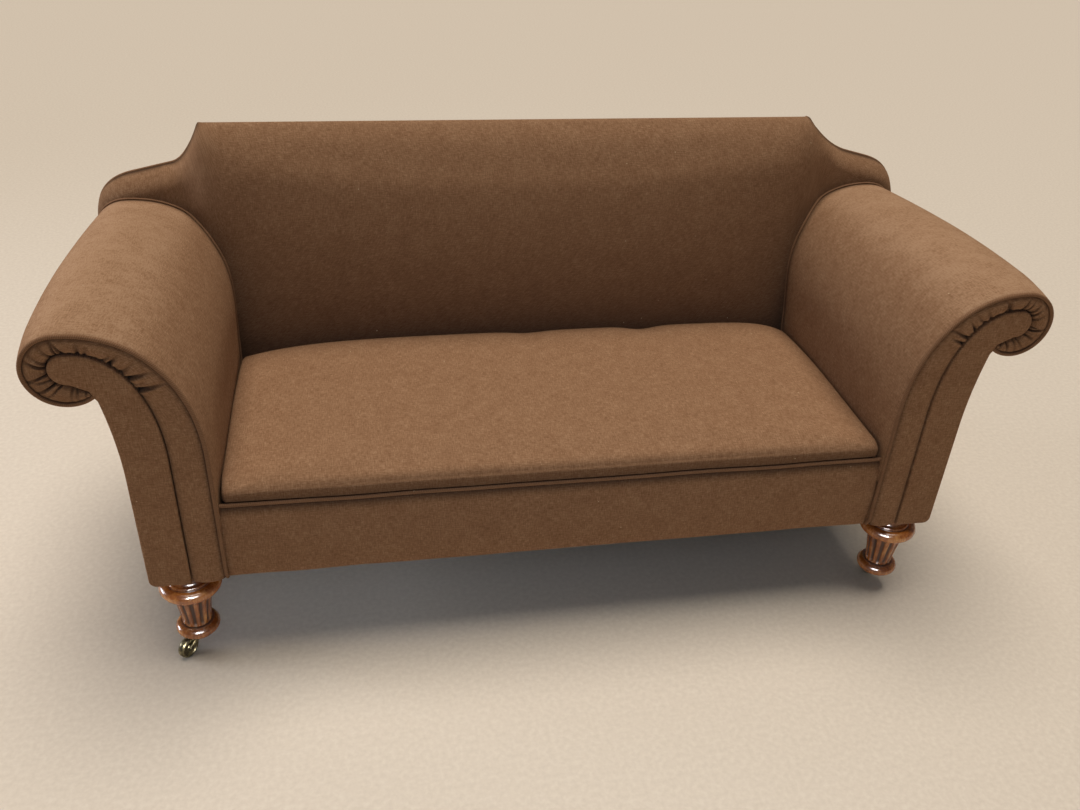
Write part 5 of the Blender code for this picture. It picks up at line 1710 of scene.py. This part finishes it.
@dataclass
class Underside:
    """The dust cover under the seat and the tacks that hold it."""

    trim: Trim
    narrow_x: float = 0.640
    wide_x: float = 0.7617
    front: float = 0.050
    front_row: float = 0.078
    wide_from: float = 0.1071
    wide_to: float = 0.6281
    rear: float = 0.6475
    level: float = 0.1985
    thickness: float = 0.0006
    sag: float = 0.006
    tack_pitch: float = 0.042
    tack_inset: float = 0.009

    def half_outline(self) -> list[tuple[float, float]]:
        """List the right half of the cover's outline (X, depth) from front to rear."""
        narrow, wide = self.narrow_x, self.wide_x
        return [
            (narrow, self.front), (narrow, self.wide_from), (wide, self.wide_from),
            (wide, self.wide_to), (narrow, self.wide_to), (narrow, self.rear),
        ]

    def build(self) -> None:
        """Make the sagging cover and its tacks."""
        xs = [-self.wide_x, *spread(-self.narrow_x, self.narrow_x, 48), self.wide_x]
        depths = [self.front, self.front_row, *spread(self.wide_from, self.wide_to, 20), self.rear]
        bm = bmesh.new()
        layer = bm.loops.layers.uv.new(CLOTH_UV)
        grid: dict[tuple[int, int], BMVert] = {}

        def vert(i: int, j: int) -> BMVert:
            """Give the grid's point in a column and row, made on first use."""
            if (i, j) not in grid:
                x, depth = xs[i], depths[j]
                across = clamp(1.0 - (x / self.narrow_x) ** 2)
                along = clamp((depth - self.front) / (self.rear - self.front))
                drop = self.sag * across * math.sin(math.pi * along) * (0.8 + 0.2 * math.cos(x * 29.0))
                grid[i, j] = bm.verts.new(world(x, depth, self.level - drop))
            return grid[i, j]

        for i in range(len(xs) - 1):
            for j in range(len(depths) - 1):
                outer = abs(xs[i] + xs[i + 1]) / 2 > self.narrow_x
                if outer and not self.wide_from <= depths[j] < self.wide_to:
                    continue
                face = bm.faces.new((vert(i, j), vert(i + 1, j), vert(i + 1, j + 1), vert(i, j + 1)))
                for loop in face.loops:
                    loop[layer].uv = loop.vert.co.xy
        bmesh.ops.reverse_faces(bm, faces=bm.faces)
        mesh = mesh_from("dust_cover_cloth", bm)
        cover = add_piece("dust_cover_cloth", mesh, LINING)
        thick = cover.modifiers.new("thickness", "SOLIDIFY")
        thick.thickness = self.thickness
        thick.offset = -1.0
        settle(cover)
        outline = self.half_outline()
        ring = outline + [(-x, depth) for x, depth in outline[::-1]]
        places = [world(x, depth, self.level - self.thickness) for x, depth in self.tack_places(ring)]
        tacks = self.trim.tack("dust_cover_tacks", places)
        join_frame(cover, SOFA, "lining", "dust_cover")

    def tack_places(self, ring: list[tuple[float, float]]) -> list[Vector]:
        """Space tacks round the outline, a little inside it."""
        places = []
        for (x0, d0), (x1, d1) in zip(ring, ring[1:] + ring[:1]):
            first, second = Vector((x0, d0)), Vector((x1, d1))
            way = second - first
            inward = Vector((-way.y, way.x)).normalized() * self.tack_inset
            count = max(round(way.length / self.tack_pitch), 1)
            places += [first + way * (k + 0.5) / count + inward for k in range(count)]
        return places


@dataclass
class FrontLeg:
    """A turned and fluted front leg of polished walnut."""

    side: Side
    x: float = 0.714
    depth: float = 0.048
    flange_radius: float = 0.0585
    flange_height: float = 0.164
    flange_half: float = 0.0125
    neck_radius: float = 0.027
    cove: tuple[float, float] = (0.0075, 0.0104)
    bead: tuple[float, float] = (0.0380, 0.0030)
    body_radius: tuple[float, float] = (0.0385, 0.0275)
    ring_radius: float = 0.0415
    ring_half: float = 0.0115
    foot: float = 0.0465
    flutes: int = 12
    flute_depth: float = 0.0042
    collar_edge: tuple[float, float] = (0.001, 0.0015)
    cove_lip: float = 0.0016
    bead_lip: float = 0.0012
    body_gap: float = 0.0015
    ring_gap: float = 0.0025
    fillet: tuple[float, float] = (0.0025, 0.0017)
    neck_cut: float = 0.0015
    neck_drops: tuple[float, float] = (0.0010, 0.0035)
    closing: float = 0.0001
    around: int = 144

    def profile(self) -> list[tuple[float, float, float, float]]:
        """List radius, height, how deep the flutes are there and how dark the painted shade is, from the top
        down.
        """
        line: list[tuple[float, float, float, float]] = []

        def add(radius: float, z: float, cut: float = 0.0, hollow_shade: float = 0.0) -> None:
            """Add a ring to the profile."""
            line.append((radius, z, cut, hollow_shade))

        half = self.flange_half
        crest = self.flange_height + half
        neck, (reach, drop) = self.neck_radius, self.cove
        add(self.closing, UNDERSIDE - FIT)
        add(neck - self.collar_edge[0], UNDERSIDE - FIT)
        add(neck, UNDERSIDE - self.collar_edge[1])
        for k in range(8):
            angle = math.pi / 2 * k / 7
            z = crest + self.cove_lip + drop * (1.0 - math.sin(angle))
            add(neck + reach * (1.0 - math.cos(angle)), z, hollow_shade=0.15)
        middle, round_by = self.bead
        for k in range(9):
            angle = math.pi * (1.0 - k / 8)
            add(middle + round_by * math.cos(angle), crest + self.bead_lip + round_by * math.sin(angle))
        for k in range(21):
            angle = math.radians(112.0 - 202.0 * k / 20)
            radius = self.flange_radius - half + half * math.cos(angle)
            add(radius, self.flange_height + half * math.sin(angle), hollow_shade=0.6 * ease(1.0 - k / 2.0))
        top = self.flange_height - half - self.body_gap
        low = self.foot + 2 * self.ring_half + self.ring_gap
        wide, slim = self.body_radius
        add(wide + self.fillet[0], top + self.fillet[1], hollow_shade=0.2)
        steps = 26
        for k in range(steps + 1):
            share = k / steps
            cut = ease(share / 0.10) * ease((1.0 - share) / 0.08)
            add(slim + (wide - slim) * (1.0 - share) ** 1.4, top + (low - top) * share, cut, 0.1)
        for drop in self.neck_drops:
            add(slim - self.neck_cut, low - drop, hollow_shade=0.85)
        for k in range(19):
            angle = math.radians(102.0 - 192.0 * k / 18)
            radius = self.ring_radius + self.ring_half * (math.cos(angle) - 1.0)
            z = self.foot + self.ring_half * (1.0 + math.sin(angle))
            add(radius, z, hollow_shade=0.7 * ease(1.0 - k / 3.0))
        add(self.closing, self.foot)
        return line

    def build(self) -> None:
        """Turn the leg and cut its flutes."""
        centre = world(self.side.value * self.x, self.depth, 0.0)
        rows, dark = [], []
        for radius, z, cut, hollow_shade in self.profile():
            row = []
            for k in range(self.around):
                angle = 2 * math.pi * k / self.around
                wave = 0.5 + 0.5 * math.cos(self.flutes * angle)
                hollow = cut * ease((wave - 0.32) / 0.5)
                reach = radius - self.flute_depth * hollow * (0.75 + 0.25 * radius / self.body_radius[0])
                row.append(centre + Vector((reach * math.cos(angle), reach * math.sin(angle), z)))
                # The flutes and the cove, bead, neck and ring hollows carry painted shade.
                dark.append(max(0.9 * hollow, hollow_shade))
            rows.append(row)
        mesh = skin(f"front_leg_{self.side.word}_turned", rows, sharp=60.0)
        mark(mesh, dark)
        leg = add_piece(f"turned_leg_{self.side.word}", mesh, WALNUT)
        join_frame(leg, SOFA, "leg_timber", f"front_leg_{self.side.word}")


@dataclass
class RearLeg:
    """A raked square rear leg with eased edges."""

    side: Side
    x: float = 0.685
    depth: float = 0.6507
    top: float = 0.044
    foot: float = 0.034
    rake: float = 0.048
    castor_height: float = 0.0465
    edge: float = 0.004

    def build(self) -> None:
        """Make the leg from rings with rounded corners."""
        rows = []
        high = UNDERSIDE - FIT
        steps = 14
        for k in range(steps + 1):
            share = k / steps
            trim = 0.0018 if k in (0, steps) else 0.0
            half = (self.top + (self.foot - self.top) * share) / 2 - trim
            sweep = self.rake * share ** 1.15
            z = high + (self.castor_height - high) * share
            row = []
            for corner, signs in enumerate(((1, 1), (-1, 1), (-1, -1), (1, -1))):
                middle = Vector(signs) * (half - self.edge)
                for step in range(5):
                    angle = math.pi / 2 * (corner + step / 4)
                    point = middle + self.edge * heading(angle)
                    row.append(world(self.side.value * self.x + point.x, self.depth + sweep + point.y, z))
            rows.append(row)
        mesh = skin(f"rear_leg_{self.side.word}_sawn", rows, sharp=60.0)
        leg = add_piece(f"raked_leg_{self.side.word}", mesh, WALNUT)
        join_frame(leg, SOFA, "leg_timber", f"rear_leg_{self.side.word}")


@dataclass
class Castor:
    """A brass castor: plate and pivot on the leg, a horn that swivels, an axle and a wheel."""

    corner: Corner
    height: float = 0.0465
    wheel_radius: float = 0.0215
    wheel_width: float = 0.015
    trail: float = 0.034
    plate_radius: float = 0.019
    plate: float = 0.003
    pivot_radius: float = 0.0042
    pivot_head: tuple[float, float] = (0.0065, 0.0018)
    crown_radius: float = 0.0135
    crown: float = 0.0078
    cheek: float = 0.0026
    cheek_gap: float = 0.0008
    boss: float = 0.0065
    axle_radius: float = 0.0030
    axle_head: tuple[float, float] = (0.0048, 0.0015)
    play: float = 0.0004
    plate_edge: float = 0.0008
    head_edge: float = 0.0006
    head_flat: float = 0.7
    hub: tuple[float, float] = (0.0065, 0.0078)
    dish: float = 0.0025
    rim: tuple[tuple[float, float], ...] = (
        (0.0062, 0.0025), (0.0048, 0.0006), (0.0028, 0.0003),
        (0.0010, 0.0018), (0.0002, 0.0042), (0.0, 0.0065),
    )
    around: int = 48

    def swivel(self) -> Matrix:
        """Give the frame of the swivel: X along the trail, Y along the axle, Z up."""
        x, depth, angle = self.corner.value
        return Matrix.Translation(world(x, depth, 0.0)) @ Matrix.Rotation(math.radians(angle), 4, "Z")

    def add(self, kind: str, mesh: Mesh, body: str) -> None:
        """Add one of the castor's pieces to a body."""
        piece = add_piece(f"brass_{kind}_{self.corner.word}", mesh, BRASS)
        join_frame(piece, body, "brass", f"castor_{kind}_{self.corner.word}")

    def turn(self, name: str, profile: Sequence[tuple[float, float]], matrix: Matrix) -> Mesh:
        """Turn a solid piece from radii and heights, with its axis where a matrix puts it."""
        return skin(name, lathe(profile, matrix, self.around), sharp=38.0)

    def axle_frame(self) -> Matrix:
        """Give the frame whose Z runs along the axle."""
        place = Matrix.Translation((self.trail, 0.0, self.wheel_radius))
        return self.swivel() @ place @ Matrix.Rotation(-math.pi / 2, 4, "X")

    def build(self) -> None:
        """Make the four pieces and join each to its body."""
        word = self.corner.word
        top = self.height - FIT
        low = top - self.plate
        crown_top = low - FIT
        crown_low = crown_top - self.crown
        pivot, head = self.pivot_radius, self.pivot_head
        wide, edge = self.plate_radius, self.plate_edge
        seat = crown_low - FIT
        foot = seat - head[1]
        plate = [(0.0, top), (wide - edge, top), (wide, top - edge), (wide, low + edge), (wide - edge, low)]
        plate += [(pivot, low), (pivot, seat), (head[0], seat), (head[0], foot + self.head_edge)]
        plate += [(head[0] * self.head_flat, foot), (0.0, foot)]
        self.add("plate", self.turn("plate", plate, self.swivel()), SOFA)
        self.add("horn", self.horn(crown_top, crown_low), f"castor_{word}")
        seat = self.wheel_width / 2 + self.cheek_gap + self.cheek
        end = seat + self.axle_head[1]
        pin, knob = self.axle_radius, self.axle_head[0]
        axle = [(0.0, end), (knob * self.head_flat, end), (knob, end - self.head_edge)]
        axle += [(knob, seat + FIT), (pin, seat + FIT)]
        axle += [(radius, -z) for radius, z in axle[::-1]]
        self.add("axle", self.turn("axle", axle, self.axle_frame()), f"castor_{word}")
        self.add("wheel", self.wheel(), f"wheel_{word}")

    def wheel(self) -> Mesh:
        """Turn the wheel: rounded tread, dished sides, a hub and its bore."""
        half, radius = self.wheel_width / 2, self.wheel_radius
        side = [(self.axle_radius + self.play, half), (self.hub[0], half), (self.hub[1], half - self.dish)]
        side += [(radius - inside, half - below) for inside, below in self.rim]
        bm = bmesh.new()
        spin(bm, side + [(r, -z) for r, z in side[::-1]], self.axle_frame(), self.around)
        bmesh.ops.recalc_face_normals(bm, faces=bm.faces)
        return mesh_from("wheel", bm, 40.0)

    def horn(self, crown_top: float, crown_low: float) -> Mesh:
        """Make the horn: a domed, pierced crown with two curved cheeks, as one mesh.

        Args:
            crown_top: Height of the crown's top.
            crown_low: Height of its foot.

        Returns:
            The mesh.
        """
        bore = self.pivot_radius + self.play
        radius = self.crown_radius
        crown = [(bore, crown_top), (radius * 0.8, crown_top), (radius * 0.97, crown_top - 0.002)]
        crown += [(radius, (crown_top + crown_low) / 2), (radius * 0.93, crown_low), (bore, crown_low)]
        swivel = self.swivel()
        bm = bmesh.new()
        spin(bm, crown, swivel, self.around)
        root = radius * 0.62
        centre = Vector((self.trail, self.wheel_radius))
        outline = [(-root, crown_low + 0.0006), (-root, crown_top - 0.001), (root, crown_top - 0.001)]
        outline += [(root + 0.006, crown_top - 0.0030), (root + 0.013, crown_top - 0.0078)]
        for k in range(15):
            angle = math.radians(58.0 - 176.0 * k / 14)
            outline.append(centre + self.boss * heading(angle))
        outline += [(root + 0.008, crown_low - 0.0065), (root, crown_low - 0.0018)]
        outline = [Vector(point) for point in outline]
        middle = sum(outline, Vector((0.0, 0.0))) / len(outline)
        inside = self.wheel_width / 2 + self.cheek_gap
        for sign in (-1, 1):
            rings = []
            for y, shrink in ((inside, 0.0), (inside + self.cheek * 0.7, 0.0), (inside + self.cheek, 0.0007)):
                line = [point + (middle - point).normalized() * shrink for point in outline]
                rings.append([bm.verts.new(swivel @ Vector((point.x, sign * y, point.y))) for point in line])
            for first, second in zip(rings, rings[1:]):
                bridge(bm, first, second)
            bm.faces.new(rings[0])
            bm.faces.new(rings[-1])
        bmesh.ops.recalc_face_normals(bm, faces=bm.faces)
        return mesh_from("horn", bm, 35.0)


@dataclass
class Studio:
    """The camera where the photograph was taken, a pale floor and soft light from above."""

    place: tuple[float, float, float] = (-0.361, -1.82785, 1.494)
    yaw: float = 11.48
    pitch: float = 32.48
    roll: float = 2.89
    lens: float = 33.343
    sun: float = 3.0
    sun_width: float = 42.0
    ambient: float = 0.115
    spread: float = 80.0
    panels: dict[str, tuple[Any, ...]] = field(default_factory=lambda: {
        "window": ((-4.8, 0.75, 1.1), (-0.9, 0.0, 0.3), (1.6, 1.6), 21.0, "#EAF1FF"),
        "card": ((-0.40, -1.95, 1.55), (0.0, -0.30, 0.2), (1.3, 0.9), 36.0, "#FFFFFF"),
    })

    def build_camera(self) -> None:
        """Set the camera up."""
        yaw, pitch, roll = (math.radians(value) for value in (self.yaw, self.pitch, self.roll))
        ahead = Vector((math.sin(yaw) * math.cos(pitch), math.cos(yaw) * math.cos(pitch), -math.sin(pitch)))
        right = Vector((math.cos(yaw), -math.sin(yaw), 0.0))
        above = right.cross(ahead)
        across = right * math.cos(roll) + above * math.sin(roll)
        upward = above * math.cos(roll) - right * math.sin(roll)
        data = bpy.data.cameras.new("camera")
        data.sensor_fit = "HORIZONTAL"
        data.sensor_width = 36.0
        data.lens = self.lens
        data.clip_end = 60.0
        camera = put("camera", data)
        turned = Matrix((across, upward, -ahead)).transposed().to_4x4()
        camera.matrix_world = Matrix.Translation(self.place) @ turned
        bpy.context.scene.camera = camera

    def hang(self, data: Light, colour: str, place: Vector, way: Vector) -> Object:
        """Hang a light.

        Args:
            data: The light.
            colour: Its colour as hex.
            place: Where it hangs.
            way: Where it shines.

        Returns:
            Its object.
        """
        data.color = hex_linear(colour)[:3]
        light = put(data.name, data)
        light.matrix_world = Matrix.Translation(place) @ way.to_track_quat("-Z", "Y").to_matrix().to_4x4()
        light.visible_camera = False
        return light

    def add_lights(self) -> None:
        """Hang a wide soft light overhead, a cool panel at the left and a card that only polish shows."""
        overhead = bpy.data.lights.new("overhead", "SUN")
        overhead.angle = math.radians(self.sun_width)
        overhead.energy = self.sun
        self.hang(overhead, "#FFF8EE", Vector((0.4, -0.4, 3.0)), Vector((-0.04, -0.13, -1.0)))
        for name, (place, aim, sides, power, colour) in self.panels.items():
            panel = bpy.data.lights.new(name, "AREA")
            panel.shape = "RECTANGLE"
            panel.size, panel.size_y = sides
            panel.energy = power
            panel.spread = math.radians(self.spread)
            light = self.hang(panel, colour, Vector(place), Vector(aim) - Vector(place))
            light.visible_diffuse = name != "card"

    def build(self) -> None:
        """Lay the floor and hang the lights."""
        bm = bmesh.new()
        bmesh.ops.create_grid(bm, x_segments=24, y_segments=24, size=24.0)
        floor = add_piece("floor", mesh_from("floor", bm), CARPET)
        self.add_lights()
        scene = bpy.context.scene
        room = bpy.data.worlds.new("room")
        room.use_nodes = True
        room.node_tree.nodes.clear()
        glow = {"Color": hex_linear("#F4F4F2"), "Strength": self.ambient}
        light = add_node(room.node_tree, "ShaderNodeBackground", glow)
        add_node(room.node_tree, "ShaderNodeOutputWorld", {"Surface": light.outputs[0]})
        scene.world = room
        scene.view_settings.view_transform = "Standard"


def dress_nodes(frame: dict[str, Any]) -> None:
    """Give the frame's own timber, webbing and springs their finishes.
    """
    slots = {row["node"]: row["material_slot"] for row in frame["record"]["subparts"]}
    for name, node in frame["nodes"].items():
        finish = NODE_FINISHES.get(slots.get(name, ""))
        if finish is None:
            continue
        if not node.data.materials:
            node.data.materials.append(None)
        for slot in node.material_slots:
            slot.link = "OBJECT"
            slot.material = finish.material()


def main() -> None:
    """Build the studio and dress the sofa piece by piece."""
    logging.basicConfig(level=logging.INFO, format="%(message)s")
    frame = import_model()
    studio = Studio()
    studio.build_camera()
    dress_nodes(frame)
    trim = Trim()
    arm_shape = ArmShape()
    back_shape = BackShape(arm_shape)
    seat = Seat(back_shape, trim)
    seat.build_pad()
    seat.build_border()
    seat.build_piping()
    for side, seed in ((Side.LEFT, 11), (Side.RIGHT, 23)):
        arm = Arm(side, arm_shape, back_shape, trim, seed)
        arm.build_pad()
        arm.build_border()
        arm.build_panel()
        arm.build_piping()
        arm.build_outside()
        FrontLeg(side).build()
        RearLeg(side).build()
    back = Back(back_shape, trim)
    back.build_pad()
    back.build_outside()
    back.build_piping()
    Underside(trim).build()
    for corner in Corner:
        Castor(corner).build()
    studio.build()


if __name__ == "__main__":
    main()
